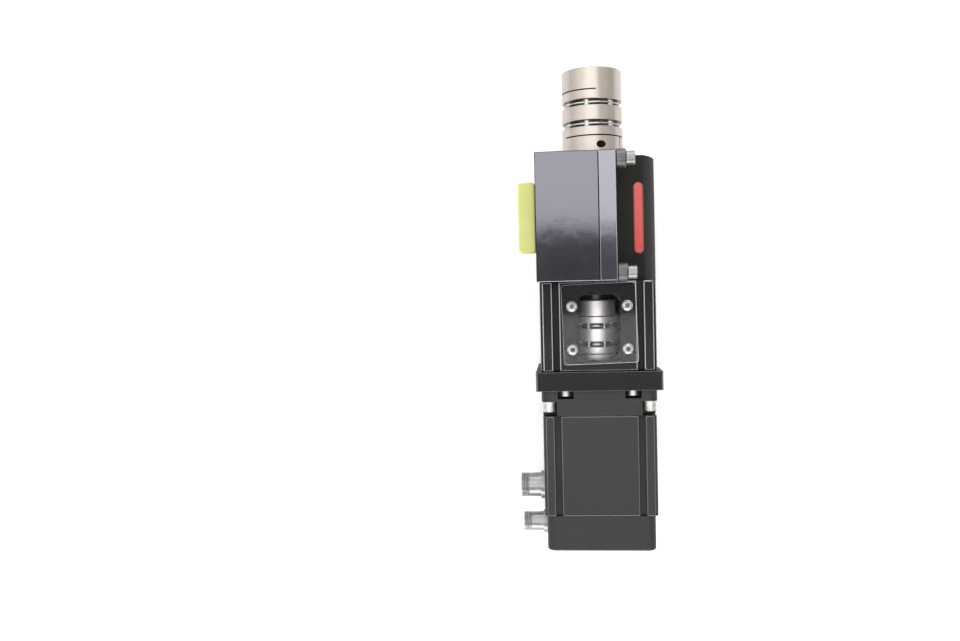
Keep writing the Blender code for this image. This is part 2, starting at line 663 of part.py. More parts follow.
def disc_pack(made_of, name, low, turn):
    """A thin spring disc with a washer on both faces at each bolt."""
    radius = made_of.radius
    middle = low + made_of.gap / 2
    pack = tube(name, radius - DISC_INSET, radius * DISC_BORE_SHARE, middle - DISC_THICKNESS / 2,
                middle + DISC_THICKNESS / 2, STEEL, steps=FINE)
    washer = WASHER_SHARE * radius
    circle_radius = BOLT_CIRCLE_SHARE * radius
    shape = bmesh.new()
    for bolt in range(BOLTS):
        angle = turn + math.tau * bolt / BOLTS
        spot = (circle_radius * math.cos(angle), middle, circle_radius * math.sin(angle))
        place = Matrix.Translation(spot)
        place = place @ Matrix.Rotation(math.pi / 2, 4, "X")
        bmesh.ops.create_cone(shape, cap_ends=True, segments=WASHER_STEPS, radius1=washer,
                              radius2=washer, depth=made_of.gap - 2 * GAP, matrix=place)
    washers = add(name + "_washers", mesh_from(shape, "washers"))
    combine(pack, washers, "UNION")


def build_coupling(made_of, turns, bolt_turn):
    """Two clamping hubs, two disc packs and the ring between them."""
    near, far = turns
    hub_length = made_of.clamp + made_of.slit + made_of.base
    total = 2 * hub_length + 2 * made_of.gap + made_of.ring
    side = made_of.side
    far_end = made_of.start + side * total
    hub(made_of, f"{made_of.name}_coupling_near_hub", made_of.near_bore, (0, made_of.start, 0),
        (0, side, 0), *near)
    hub(made_of, f"{made_of.name}_coupling_far_hub", made_of.far_bore, (0, far_end, 0),
        (0, -side, 0), *far)
    first = made_of.start + side * hub_length
    ring = first + side * made_of.gap
    second = ring + side * made_of.ring
    disc_pack(made_of, f"{made_of.name}_disc_pack_near", min(first, ring), bolt_turn)
    disc_pack(made_of, f"{made_of.name}_disc_pack_far", min(second, second + side * made_of.gap),
              bolt_turn)
    tube(f"{made_of.name}_coupling_centre", made_of.radius, made_of.radius * RING_BORE_SHARE,
         min(ring, second), max(ring, second), CHAMPAGNE, chamfer=EDGE_BREAK, steps=FINE)


# ---------------------------------------------------------------- lantern, window and plate

def build_lantern():
    """The lantern, its clear window and the window's screws."""
    outline = grooved_square(LANTERN_HALF, PANEL_HALF, GROOVE_WIDTH, GROOVE_CUT, CORNER_CHAMFER)
    lantern = section("lantern", [outline, circle(LANTERN_BORE)], LANTERN_END, LANTERN_START, BLACK_PLATE)
    centre_x, centre_y = WINDOW_CENTRE[0], LANTERN_START - WINDOW_CENTRE[1]
    wide, tall, corner = WINDOW_OPENING
    depth = LANTERN_HALF
    opening = add("window_cut", flat_mesh("window_cut", [rounded_rectangle(wide, tall, corner)], depth))
    opening.location = (centre_x, centre_y, LANTERN_HALF + CUT_PAST - depth / 2)
    combine(lantern, opening)
    wide, tall, corner = WINDOW_PLATE
    plate_x, plate_back = WINDOW_PLATE_CENTRE
    window = add("window_plate", flat_mesh("window_plate", [rounded_rectangle(wide, tall, corner)],
                                           WINDOW_PLATE_THICKNESS), CLEAR_PLASTIC)
    window.location = (plate_x, LANTERN_START - plate_back, LANTERN_HALF + GAP + WINDOW_PLATE_THICKNESS / 2)
    window.rotation_euler = (0, 0, WINDOW_TILT)
    seat_z = LANTERN_HALF + WINDOW_PLATE_THICKNESS + 2 * GAP
    grip = WINDOW_PLATE_THICKNESS + WINDOW_GRIP
    button = screw_mesh("button_screw", M5_BUTTON, grip, dome=BUTTON_DOME)
    places = [(sx, sy) for sx in (-0.5, 0.5) for sy in (-0.5, 0.5)]
    for number, (sx, sy) in enumerate(places, 1):
        seat = (centre_x + sx * WINDOW_SCREWS[0], centre_y + sy * WINDOW_SCREWS[1], seat_z)
        fasten(f"window_screw_{number}", button, STEEL, seat, (0, 0, 1))
        drill = clearance_hole(f"window_hole_{number}", M5_BUTTON, seat, (0, 0, 1), grip + 2 * GAP)
        combine(lantern, drill)
        combine(window, drill)
    return lantern


def build_adapter_plate(lantern):
    """The square plate between lantern and motor, and its screws into the lantern."""
    plate = box("adapter_plate", (-PLATE_HALF, PLATE_END, -PLATE_HALF),
                (PLATE_HALF, PLATE_START, PLATE_HALF), BLACK_PLATE, edge=SOFT_EDGE)
    throat = rod("plate_throat", LANTERN_BORE, PLATE_END - CUT_PAST, PLATE_START + CUT_PAST, steps=FINE)
    spigot = rod("plate_spigot", PILOT_RADIUS + GAP, PLATE_END - CUT_PAST,
                 PLATE_END + PILOT_HEIGHT + 2 * GAP, steps=FINE)
    combine(plate, throat)
    combine(plate, spigot)
    length = PLATE_THICKNESS + PLATE_GRIP
    plate_screw = screw_mesh("plate_screw_mesh", M6, length)
    down = (0, -1, 0)
    places = [(sx, sz) for sx in (-1, 1) for sz in (1, -1)]
    for number, (sx, sz) in enumerate(places, 1):
        seat = (sx * PLATE_SCREW_X, PLATE_END - GAP, sz * PLATE_SCREW_Z)
        fasten(f"plate_screw_{number}", plate_screw, STEEL, seat, down)
        drill = clearance_hole(f"plate_hole_{number}", M6, seat, down, length + 2 * GAP)
        combine(plate, drill)
        combine(lantern, drill)
    return plate


# ---------------------------------------------------------------- motor

def build_motor(plate):
    """The servo motor: flanged front cover, body, rear cover, stator, rotor, screws and sockets."""
    flange_size = 2 * MOTOR_FLANGE_HALF
    flange = rounded_rectangle(flange_size, flange_size, MOTOR_FLANGE_CORNER)
    front = section("motor_front_cover", [flange], FLANGE_END, FLANGE_START, MOTOR_PAINT)
    bell = section("bell_add", [notched_square(MOTOR_HALF, MOTOR_NOTCH)], BELL_END, FLANGE_END + CUT_PAST)
    pilot = rod("pilot_add", PILOT_RADIUS, FLANGE_START - CUT_PAST, FLANGE_START + PILOT_HEIGHT, steps=FINE)
    bore = rod("motor_bore", MOTOR_BORE, BELL_END - CUT_PAST, FLANGE_START + PILOT_HEIGHT + CUT_PAST)
    combine(front, bell, "UNION")
    combine(front, pilot, "UNION")
    combine(front, bore)
    for sx in (-1, 1):
        for sz in (-1, 1):
            inner = sz * (PLATE_SCREW_Z - POCKET_WIDTH / 2)
            outer = sz * (MOTOR_FLANGE_HALF + CUT_PAST)
            low_z, high_z = sorted((inner, outer))
            low = (sx * PLATE_SCREW_X - POCKET_WIDTH / 2, FLANGE_START - POCKET_DEPTH, low_z)
            high = (sx * PLATE_SCREW_X + POCKET_WIDTH / 2, FLANGE_START + CUT_PAST, high_z)
            combine(front, box(f"pocket_{sx}_{sz}", low, high))
    outline = grooved_square(MOTOR_HALF, PANEL_HALF, GROOVE_WIDTH, GROOVE_CUT, CORNER_CHAMFER)
    section("motor_housing", [outline, circle(STATOR_OUTER + GAP)], BODY_END, BODY_START, MOTOR_PAINT)
    section("motor_stator", [circle(STATOR_OUTER), circle(STATOR_INNER)],
            BODY_END + STATOR_END_ROOM, BODY_START - STATOR_END_ROOM, LAMINATION)
    build_rotor()
    build_rear_cover()
    length = MOTOR_FLANGE + MOTOR_GRIP
    motor_screw = screw_mesh("motor_screw_mesh", M8_WASHERED, length)
    places = [(sx, sz) for sx in (-1, 1) for sz in (1, -1)]
    for number, (sx, sz) in enumerate(places, 1):
        seat = (sx * MOTOR_SCREW_OFFSET, FLANGE_END - GAP, sz * MOTOR_SCREW_OFFSET)
        fasten(f"motor_screw_{number}", motor_screw, STEEL, seat, (0, -1, 0))
        drill = clearance_hole(f"motor_hole_{number}", M8, seat, (0, -1, 0), length + 2 * GAP)
        combine(front, drill)
        combine(plate, drill)


def build_rotor():
    """The motor's shaft and magnet rotor in one turned piece."""
    total = 2 * (LOWER.clamp + LOWER.slit + LOWER.base + LOWER.gap) + LOWER.ring
    top = LOWER.start - total + LOWER.clamp
    rotor_top = BODY_START - ROTOR_END_ROOM
    rotor_end = BODY_END + ROTOR_END_ROOM
    tail_end = REAR_START - ROTOR_TAIL
    profile = [(0, top), (MOTOR_SHAFT_RADIUS, top), (MOTOR_SHAFT_RADIUS, rotor_top),
               (ROTOR_RADIUS, rotor_top), (ROTOR_RADIUS, rotor_end), (MOTOR_SHAFT_RADIUS, rotor_end),
               (MOTOR_SHAFT_RADIUS, tail_end), (0, tail_end)]
    turned("motor_rotor", profile, STEEL)


def build_rear_cover():
    """The encoder cover and the two cable sockets on the motor's -X side."""
    size = 2 * MOTOR_REAR_HALF
    rear = section("motor_rear_cover", [rounded_rectangle(size, size, MOTOR_FLANGE_CORNER)],
                   REAR_END, REAR_START, MOTOR_PAINT)
    combine(rear, rod("encoder_room", ENCODER_ROOM_RADIUS, REAR_END + REAR_WALL, REAR_START + CUT_PAST,
                      steps=FINE))
    sockets = (("power_socket", -MOTOR_HALF, BODY_END + POWER_SOCKET[0], POWER_SOCKET[1]),
               ("signal_socket", -MOTOR_REAR_HALF, REAR_START - SIGNAL_SOCKET[0], SIGNAL_SOCKET[1]))
    for name, face, along, radius in sockets:
        shell = radius - SOCKET_STEP
        mouth = shell - SOCKET_WALL
        profile = [(0, SOCKET_FLOOR), (mouth, SOCKET_FLOOR), (mouth, SOCKET_LENGTH), (shell, SOCKET_LENGTH),
                   (shell, SOCKET_FLANGE), (radius, SOCKET_FLANGE), (radius, 0), (0, 0)]
        turned(name, profile, CONNECTOR_METAL, at=(face - GAP, along, 0), direction=(-1, 0, 0), steps=SMALL)


build_housing()
build_bumper_and_badge()
build_pulley()
build_shaft()
for bearing_name, bearing_side in SIDES:
    build_bearing(bearing_name, bearing_side)
build_coupling(UPPER, UPPER_TURNS, UPPER_BOLT_TURN)
build_coupling(LOWER, LOWER_TURNS, LOWER_BOLT_TURN)
lantern_piece = build_lantern()
plate_piece = build_adapter_plate(lantern_piece)
build_motor(plate_piece)
for shown in parts.objects:
    if shown.type == "MESH":
        smooth(shown)
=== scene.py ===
"""Looks of a belt drive head that lies on the underside of its housing.

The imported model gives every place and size. Each visible piece is modelled again here with fine
edges and round walls, and takes a procedural finish: anodised black, champagne anodised alloy,
bright and dark steel, motor paint, clear plate, polyurethane and a plain red badge.
"""
import json
import math
from collections import namedtuple

import bpy
from mathutils import Matrix, Vector

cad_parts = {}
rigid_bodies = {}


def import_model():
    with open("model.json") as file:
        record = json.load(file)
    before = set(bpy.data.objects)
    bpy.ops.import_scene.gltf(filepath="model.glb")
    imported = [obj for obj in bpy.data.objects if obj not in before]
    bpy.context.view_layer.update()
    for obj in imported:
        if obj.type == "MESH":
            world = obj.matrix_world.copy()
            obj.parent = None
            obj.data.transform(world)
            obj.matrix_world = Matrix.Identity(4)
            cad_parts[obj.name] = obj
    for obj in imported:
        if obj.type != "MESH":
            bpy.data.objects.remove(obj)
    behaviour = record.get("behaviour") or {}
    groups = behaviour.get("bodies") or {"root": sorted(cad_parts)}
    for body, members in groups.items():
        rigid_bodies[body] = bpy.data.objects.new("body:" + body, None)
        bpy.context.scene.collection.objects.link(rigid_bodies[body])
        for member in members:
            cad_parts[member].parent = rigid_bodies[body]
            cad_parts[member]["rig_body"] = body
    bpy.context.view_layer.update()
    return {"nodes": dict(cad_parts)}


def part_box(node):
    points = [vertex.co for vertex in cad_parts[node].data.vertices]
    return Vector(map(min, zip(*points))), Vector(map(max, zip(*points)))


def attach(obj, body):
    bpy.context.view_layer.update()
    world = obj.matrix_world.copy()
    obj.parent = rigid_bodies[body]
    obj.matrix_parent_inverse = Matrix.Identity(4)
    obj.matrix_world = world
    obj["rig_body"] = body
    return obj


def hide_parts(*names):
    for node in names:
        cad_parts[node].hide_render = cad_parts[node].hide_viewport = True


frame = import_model()
bpy.ops.object.select_all(action="DESELECT")

AXIS_HEIGHT = 0.060
GAP = 0.0003                    # between pieces that touch
PAST = 0.002                    # how far a cutting tool runs past the face it opens
FAR = 1.0                       # reach of a cutting block that takes a whole side away
SAME = 0.0001                   # points this close to a face lie on it
MERGE = 0.000002
ALIGNED = 0.99                  # share of a unit vector that counts as along an axis
OBLIQUE = 0.98                  # a face whose normal has less than this share looks along no axis
FLANK = 0.90                    # with less than this share it is well round a corner
EDGE_REACH = 0.0008             # from a face to the middle of its broken edge
BORE_REACH = 0.030              # from the shaft axis, outside every bore
BACK = Vector((0, -1, 0))
FORTH = Vector((0, 1, 0))
RIGHT = Vector((1, 0, 0))
LEFT = Vector((-1, 0, 0))
UP = Vector((0, 0, 1))


# ------------------------------------------------------------------ the frame's measures

def low(node):
    """Lowest corner of a CAD node."""
    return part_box(node)[0]


def high(node):
    """Highest corner of a CAD node."""
    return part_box(node)[1]


def middle(node):
    """Middle of a CAD node."""
    return (low(node) + high(node)) / 2


def size(node):
    """Edge lengths of a CAD node's box."""
    return high(node) - low(node)


def on_axis(along):
    """A point on the shaft axis."""
    return Vector((0, along, AXIS_HEIGHT))


def aimed(point, direction):
    """Place that lays local +Z along direction at a point."""
    turn = Vector(direction).to_track_quat("Z", "Y").to_matrix().to_4x4()
    return Matrix.Translation(Vector(point)) @ turn


# ------------------------------------------------------------------ working by hand

def only(piece):
    """Make one piece the selected and active one."""
    bpy.ops.object.select_all(action="DESELECT")
    piece.select_set(True)
    bpy.context.view_layer.objects.active = piece


def lay(piece, place):
    """Move a finished piece to its place and put the place in its mesh."""
    piece.matrix_world = place
    only(piece)
    bpy.ops.object.transform_apply(location=True, rotation=True, scale=True)
    return piece


def named(name):
    """Name the piece that an operator has just added."""
    piece = bpy.context.object
    piece.name = name
    piece.data.name = name
    return piece


def slab(name, corner, opposite):
    """A block between two corners."""
    corner, opposite = Vector(corner), Vector(opposite)
    bpy.ops.mesh.primitive_cube_add(size=1, location=(corner + opposite) / 2, scale=opposite - corner)
    piece = named(name)
    bpy.ops.object.transform_apply(location=True, rotation=True, scale=True)
    return piece


def turned(name, stations, place, sides=96, ring=False):
    """Rings of (radius, along) drawn out one after another; a ring piece comes back to its start."""
    radius, along = stations[0]
    bpy.ops.mesh.primitive_circle_add(vertices=sides, radius=radius, location=(0, 0, along),
                                      fill_type="NOTHING" if ring else "NGON")
    piece = named(name)
    bpy.ops.object.transform_apply(location=True)
    bpy.ops.object.mode_set(mode="EDIT")
    bpy.ops.mesh.select_all(action="SELECT")
    for next_radius, next_along in stations[1:] + (stations[:1] if ring else []):
        bpy.ops.mesh.extrude_region_move(TRANSFORM_OT_translate={"value": (0, 0, next_along - along)})
        grow = next_radius / radius
        bpy.ops.transform.resize(value=(grow, grow, 1), center_override=(0, 0, next_along))
        radius, along = next_radius, next_along
    bpy.ops.mesh.select_all(action="SELECT")
    bpy.ops.mesh.remove_doubles(threshold=MERGE)
    bpy.ops.mesh.normals_make_consistent(inside=False)
    bpy.ops.object.mode_set(mode="OBJECT")
    return lay(piece, place)


def rod(name, radius, start, end, sides=96):
    """A plain round bar from one point to another."""
    start, end = Vector(start), Vector(end)
    return turned(name, [(radius, 0), (radius, (end - start).length)], aimed(start, end - start), sides)


def modify(piece, kind, **settings):
    """Add a modifier and apply it."""
    only(piece)
    added = piece.modifiers.new(kind.lower(), kind)
    for key, value in settings.items():
        setattr(added, key, value)
    bpy.ops.object.modifier_apply(modifier=added.name)
    return piece


def cut(piece, *tools):
    """Take tools out of a piece; the tools are used up."""
    for tool in tools:
        modify(piece, "BOOLEAN", operation="DIFFERENCE", solver="EXACT", object=tool)
        bpy.data.objects.remove(tool)
    return piece


def weld(piece, *others):
    """Make one solid of a piece and others, which are used up."""
    for other in others:
        modify(piece, "BOOLEAN", operation="UNION", solver="EXACT", object=other)
        bpy.data.objects.remove(other)
    return piece


def joined(pieces):
    """Put separate pieces in one object."""
    bpy.ops.object.select_all(action="DESELECT")
    for piece in pieces:
        piece.select_set(True)
    bpy.context.view_layer.objects.active = pieces[0]
    bpy.ops.object.join()
    return pieces[0]


def bevelled(piece, width, segments=2, angle=35):
    """Break the sharp edges."""
    return modify(piece, "BEVEL", width=width, segments=segments, limit_method="ANGLE",
                  angle_limit=math.radians(angle), miter_outer="MITER_ARC", use_clamp_overlap=True)


def soften(piece, width, segments=2, angle=35):
    """Break the sharp edges and shade the round walls smooth."""
    if width:
        bevelled(piece, width, segments, angle)
    only(piece)
    bpy.ops.object.shade_smooth_by_angle(angle=math.radians(angle))
    return modify(piece, "WEIGHTED_NORMAL", keep_sharp=True, weight=100)


def round_edges(piece, wanted, radius, segments=8):
    """Round the edges whose two ends pass a test."""
    only(piece)
    bpy.ops.object.mode_set(mode="EDIT")
    bpy.ops.mesh.select_mode(type="EDGE")
    bpy.ops.mesh.select_all(action="DESELECT")
    bpy.ops.object.mode_set(mode="OBJECT")
    points = piece.data.vertices
    for edge in piece.data.edges:
        edge.select = wanted(points[edge.vertices[0]].co, points[edge.vertices[1]].co)
    bpy.ops.object.mode_set(mode="EDIT")
    bpy.ops.mesh.bevel(offset=radius, segments=segments, affect="EDGES", clamp_overlap=False)
    bpy.ops.object.mode_set(mode="OBJECT")
    return piece


def runs_along(axis):
    """Test for edges that run along one axis: 0, 1 or 2."""
    return lambda a, b: abs((a - b).normalized()[axis]) > ALIGNED


def copied(master, name, place):
    """A copy with a mesh of its own, laid in its place."""
    piece = master.copy()
    piece.data = master.data.copy()
    piece.name = name
    bpy.context.scene.collection.objects.link(piece)
    return lay(piece, place)


def trim(piece, wanted, index=1):
    """Mark the faces that take one of a piece's further finishes."""
    for face in piece.data.polygons:
        if wanted(face):
            face.material_index = index
    return piece


def oblique(face):
    """Test for faces that face along no axis."""
    return max(abs(n) for n in face.normal) < OBLIQUE


def broken_edge(face):
    """Test for the oblique faces of broken edges, away from the bore."""
    out = Vector((face.center.x, face.center.z - AXIS_HEIGHT)).length
    return out > BORE_REACH and oblique(face)


def corner_flank(half):
    """Test for the faces of a square section's round corners that face well off its sides."""
    def wanted(face):
        across = min(abs(face.center.x), abs(face.center.z - AXIS_HEIGHT))
        return across > half - CORNER and max(abs(n) for n in face.normal) < FLANK
    return wanted


def edge_at(axis, *places):
    """Test for the oblique faces of edges that lie at places along one axis."""
    return lambda face: oblique(face) and any(abs(face.center[axis] - p) < EDGE_REACH for p in places)


def stand_for(piece, finish, slot, *nodes, trims=()):
    """Give a piece its finishes and let it stand for CAD nodes of one body."""
    for each in (finish, *trims):
        piece.data.materials.append(each)
    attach(piece, frame["nodes"][nodes[0]]["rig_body"])
    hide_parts(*nodes)
    return piece


# ------------------------------------------------------------------ finishes

class Amount:
    """A number that changes over a surface: a shader socket that takes arithmetic."""

    def __init__(self, finish, socket):
        self.finish = finish
        self.socket = socket

    def maths(self, operation, first, second):
        node = self.finish.node("ShaderNodeMath", {"operation": operation}, {0: first, 1: second})
        return Amount(self.finish, node.outputs[0])

    def __add__(self, other):
        return self.maths("ADD", self, other)

    def __mul__(self, other):
        return self.maths("MULTIPLY", self, other)

    __radd__ = __add__
    __rmul__ = __mul__


class Finish:
    """A material made of nodes round one Principled shader."""

    def __init__(self, name, **constants):
        self.material = bpy.data.materials.new(name)
        self.material.use_nodes = True
        self.tree = self.material.node_tree
        self.shader = self.tree.nodes["Principled BSDF"]
        self.place = self.node("ShaderNodeTexCoord").outputs["Object"]
        for key, value in constants.items():
            self.shader.inputs[key.replace("_", " ")].default_value = value

    def node(self, kind, settings=None, sockets=None):
        """Add a node: its settings first, then the values or links of its sockets."""
        made = self.tree.nodes.new(kind)
        for key, value in (settings or {}).items():
            setattr(made, key, value)
        for key, value in (sockets or {}).items():
            self.feed(made.inputs[key], value)
        return made

    def feed(self, socket, value):
        """Link a socket, or set its own value."""
        value = value.socket if isinstance(value, Amount) else value
        if isinstance(value, bpy.types.NodeSocket):
            self.tree.links.new(value, socket)
        else:
            socket.default_value = value

    def grain(self, scale, stretch=(1, 1, 1), detail=3.0):
        """Noise from 0 to 1, drawn out along the axes where stretch is small."""
        spread = self.node("ShaderNodeMapping", None, {"Vector": self.place, "Scale": stretch})
        noise = self.node("ShaderNodeTexNoise", None,
                          {"Vector": spread.outputs[0], "Scale": scale, "Detail": detail})
        return Amount(self, noise.outputs[0])

    def sharpen(self, amount, start, end):
        """Stretch the part of an amount between two levels to the whole of 0 to 1."""
        node = self.node("ShaderNodeMapRange", None, {0: amount, 1: start, 2: end})
        return Amount(self, node.outputs[0])

    def colours(self, amount, first, second):
        """A colour between two, by an amount."""
        node = self.node("ShaderNodeMix", {"data_type": "RGBA"},
                         {0: amount, 6: (*first, 1), 7: (*second, 1)})
        return node.outputs[2]

    def paint(self, **sockets):
        """Feed the shader's own sockets."""
        for key, value in sockets.items():
            self.feed(self.shader.inputs[key.replace("_", " ")], value)

    def emboss(self, height, strength, distance=0.0002):
        """Raise fine relief by an amount."""
        bump = self.node("ShaderNodeBump", None,
                         {"Height": height, "Strength": strength, "Distance": distance})
        self.feed(self.shader.inputs["Normal"], bump.outputs[0])


def anodised_black(name, along, tone, gloss, streak, sheen=1.5, tint=(1, 1, 1)):
    """Black anodised plate, brushed along one axis, with faint handling marks."""
    made = Finish(name, IOR=sheen, Specular_Tint=(*tint, 1))
    stretch = [1.0, 1.0, 1.0]
    stretch[along] = 0.02
    brush = made.grain(900, stretch, 4)
    cloud = made.grain(28, detail=5)
    marks = made.sharpen(made.grain(160, detail=6), 0.60, 0.72)
    made.paint(Base_Color=made.colours(cloud, tone, [c * 1.5 + 0.002 for c in tone]),
               Roughness=gloss + brush * streak + cloud * 0.05 + marks * 0.03)
    wave = made.grain(34, (1.0, 0.6, 1.0), 3)
    made.emboss(brush * 0.02 + wave, 0.5, 0.0004)
    return made.material


def turned_alloy(name, light, dark, gloss, metal=1.0):
    """Champagne anodised alloy with fine turning lines round the shaft."""
    made = Finish(name, IOR=1.6)
    lines = made.grain(1500, (0.01, 1.0, 0.01), 2)
    cloud = made.grain(35, detail=4)
    made.paint(Base_Color=made.colours(0.7 * cloud + 0.3 * lines, dark, light), Metallic=metal,
               Roughness=gloss + lines * 0.10 + cloud * 0.06)
    made.emboss(lines, 0.9, 0.00016)
    return made.material


def steel(name, light, dark, gloss, scale=220, mottle=0.5, metal=1.0):
    """Plated or blackened steel with a mottled skin."""
    made = Finish(name)
    cloud = made.grain(scale, detail=5)
    patches = made.sharpen(cloud, 0.5 - mottle / 2, 0.5 + mottle / 2)
    fine = made.grain(2200, detail=2)
    made.paint(Base_Color=made.colours(patches, dark, light), Metallic=metal,
               Roughness=gloss + cloud * 0.14 + fine * 0.05)
    made.emboss(fine, 0.08, 0.00005)
    return made.material


def cast_paint():
    """Semi-matt black paint on a cast and extruded motor body, slightly orange-peeled."""
    made = Finish("motor_paint", IOR=1.38)
    peel = made.grain(900, detail=3)
    cloud = made.grain(22, detail=5)
    dust = made.sharpen(made.grain(700, detail=4), 0.66, 0.74)
    lines = made.grain(1300, (0.06, 1.0, 0.06), 3)
    body = made.colours(cloud * 0.5 + lines * 0.5, (0.0085, 0.0085, 0.0087), (0.0185, 0.0185, 0.0185))
    tint = made.node("ShaderNodeMix", {"data_type": "RGBA"},
                     {0: dust * 0.25, 6: body, 7: (0.08, 0.08, 0.08, 1)})
    made.paint(Base_Color=tint.outputs[2], Roughness=0.42 + cloud * 0.10 + peel * 0.08)
    made.emboss(peel * 0.7 + lines * 0.5, 0.5, 0.00014)
    return made.material


def polyurethane():
    """Yellow-green moulded polyurethane, cloudy and a little translucent."""
    made = Finish("bumper_polyurethane", Subsurface_Weight=0.35, Subsurface_Scale=0.012,
                  Subsurface_Radius=(1.0, 0.9, 0.25), IOR=1.5)
    cloud = made.grain(45, detail=4)
    skin = made.grain(600, detail=3)
    made.paint(Base_Color=made.colours(cloud, (0.37, 0.38, 0.10), (0.45, 0.46, 0.165)),
               Roughness=0.34 + cloud * 0.12 + skin * 0.06)
    made.emboss(skin, 0.10, 0.0001)
    return made.material


def badge_enamel(name, light, dark, gloss):
    """Glossy moulded enamel."""
    made = Finish(name, Coat_Weight=0.25, Coat_Roughness=0.12)
    cloud = made.grain(90, detail=3)
    made.paint(Base_Color=made.colours(cloud, dark, light), Roughness=gloss + cloud * 0.08)
    return made.material


def clear_plate():
    """Clear thin plate: it lets light straight through and mirrors a little of the room."""
    made = Finish("clear_plastic")
    scuffs = made.sharpen(made.grain(380, (1.0, 0.25, 1.0), 6), 0.60, 0.80)
    through = made.node("ShaderNodeBsdfTransparent", None, {"Color": (0.98, 0.98, 0.985, 1)})
    made.paint(Base_Color=made.colours(scuffs, (0.80, 0.79, 0.82), (0.90, 0.89, 0.91)), Metallic=1.0,
               Roughness=0.05 + scuffs * 0.05)
    rim = made.node("ShaderNodeFresnel", None, {"IOR": 1.45})
    share = Amount(made, rim.outputs[0]) * 0.36 + scuffs * 0.03
    blend = made.node("ShaderNodeMixShader", None,
                      {0: share, 1: through.outputs[0], 2: made.shader.outputs[0]})
    made.feed(made.tree.nodes["Material Output"].inputs["Surface"], blend.outputs[0])
    return made.material


DEEP_BLACK = (0.0045, 0.0045, 0.0055)
VIOLET_SHEEN = (0.90, 0.885, 1.0)
BLACK_BLOCK = anodised_black("black_anodised", 0, DEEP_BLACK, 0.05, 0.05, 2.15, VIOLET_SHEEN)
BLACK_CAP = anodised_black("black_cap", 0, DEEP_BLACK, 0.06, 0.05, 2.55, VIOLET_SHEEN)
BLACK_NOSE = anodised_black("black_nose", 1, (0.0135, 0.0125, 0.0106), 0.45, 0.08, 1.13)
BLACK_LANTERN = anodised_black("black_lantern", 1, (0.004, 0.004, 0.0044), 0.16, 0.12, 1.24)
BLACK_GROOVE = anodised_black("black_groove", 1, (0.012, 0.0116, 0.0110), 0.40, 0.20, 1.16)
# A darker, duller finish for the bevels at the seam and the block's sides: painted shade along those edges.
SEAM_SHADE = anodised_black("painted_seam_shade", 1, (0.003, 0.003, 0.0034), 0.50, 0.10, 1.08)
# A much lighter tone for broken edges: a painted highlight along them.
PAINTED_EDGE_HIGHLIGHT = anodised_black("painted_edge_highlight", 1, (0.052, 0.052, 0.056), 0.18, 0.16, 3.0)
# A lighter tone for the broken edges of the motor and the adapter plate: a painted highlight along them.
SOFT_EDGE_HIGHLIGHT = anodised_black("painted_soft_edge_highlight", 1, (0.026, 0.026, 0.027), 0.28, 0.14, 1.8)
PAINT_GROOVE = anodised_black("paint_groove", 1, (0.021, 0.0200, 0.0190), 0.45, 0.30, 1.22)
BLACK_PLATE = anodised_black("black_plate", 0, (0.0085, 0.0085, 0.0085), 0.40, 0.14, 1.19)
CHAMPAGNE = turned_alloy("champagne_anodised", (0.445, 0.395, 0.352), (0.365, 0.322, 0.285), 0.25)
SILVER = turned_alloy("silver_anodised", (0.96, 0.92, 0.91), (0.86, 0.82, 0.81), 0.45, 0.9)
BRIGHT = steel("bright_steel", (0.55, 0.54, 0.52), (0.38, 0.37, 0.35), 0.20)
ZINC = steel("zinc_steel", (0.55, 0.54, 0.515), (0.32, 0.31, 0.295), 0.26, 700, 0.25, 0.75)
# A darker steel for the inside of hex sockets: painted shade in them.
SOCKET_SHADE = steel("painted_socket_shade", (0.16, 0.155, 0.14), (0.06, 0.058, 0.052), 0.36)
DARK = steel("dark_steel", (0.13, 0.135, 0.13), (0.075, 0.078, 0.078), 0.36, 260, 0.5)
GREY_HEAD = steel("grey_steel", (0.27, 0.275, 0.275), (0.18, 0.182, 0.182), 0.30, 320, 0.5)
GROUND = steel("ground_steel", (0.62, 0.61, 0.60), (0.50, 0.49, 0.48), 0.18)
PULLEY_ALLOY = steel("pulley_alloy", (0.66, 0.66, 0.67), (0.52, 0.52, 0.53), 0.28, 90)
LAMINATION = steel("lamination", (0.34, 0.33, 0.33), (0.24, 0.24, 0.24), 0.45)
SOCKET_METAL = steel("connector_metal", (0.34, 0.34, 0.35), (0.22, 0.22, 0.23), 0.30)
CONTACT = steel("contact_gold", (0.85, 0.66, 0.30), (0.70, 0.52, 0.22), 0.22)
PAINT = cast_paint()
RUBBER = polyurethane()
RED = badge_enamel("badge_red", (0.46, 0.034, 0.026), (0.38, 0.028, 0.020), 0.24)
RED_RIM = badge_enamel("badge_rim", (0.16, 0.018, 0.014), (0.12, 0.012, 0.010), 0.30)
INSERT = badge_enamel("black_insert", (0.030, 0.030, 0.032), (0.020, 0.020, 0.022), 0.42)
CLEAR = clear_plate()
EDGE = badge_enamel("white_plate_edge", (0.95, 0.94, 0.97), (0.80, 0.79, 0.82), 0.14)


# ------------------------------------------------------------------ camera, floor and light

def make_camera():
    """Almost straight down on the head, from a little left of it."""
    bpy.ops.object.camera_add(location=(-0.0343, -0.0720, 0.9917))
    camera = bpy.context.object
    camera.rotation_mode = "ZXY"
    camera.rotation_euler = (math.radians(-1.5), math.radians(5.09), math.radians(-1.31))
    camera.data.lens = 34.4
    bpy.context.scene.camera = camera


def softbox(name, place, wide, long, watts, lean=0.0, tip=0.0):
    """A rectangular area light that looks straight down, or leans sideways or tips lengthways."""
    turn = (math.radians(tip), math.radians(lean), 0)
    bpy.ops.object.light_add(type="AREA", location=place, rotation=turn)
    lamp = bpy.context.object
    lamp.name = name
    lamp.data.shape = "RECTANGLE"
    lamp.data.size = wide
    lamp.data.size_y = long
    lamp.data.energy = watts


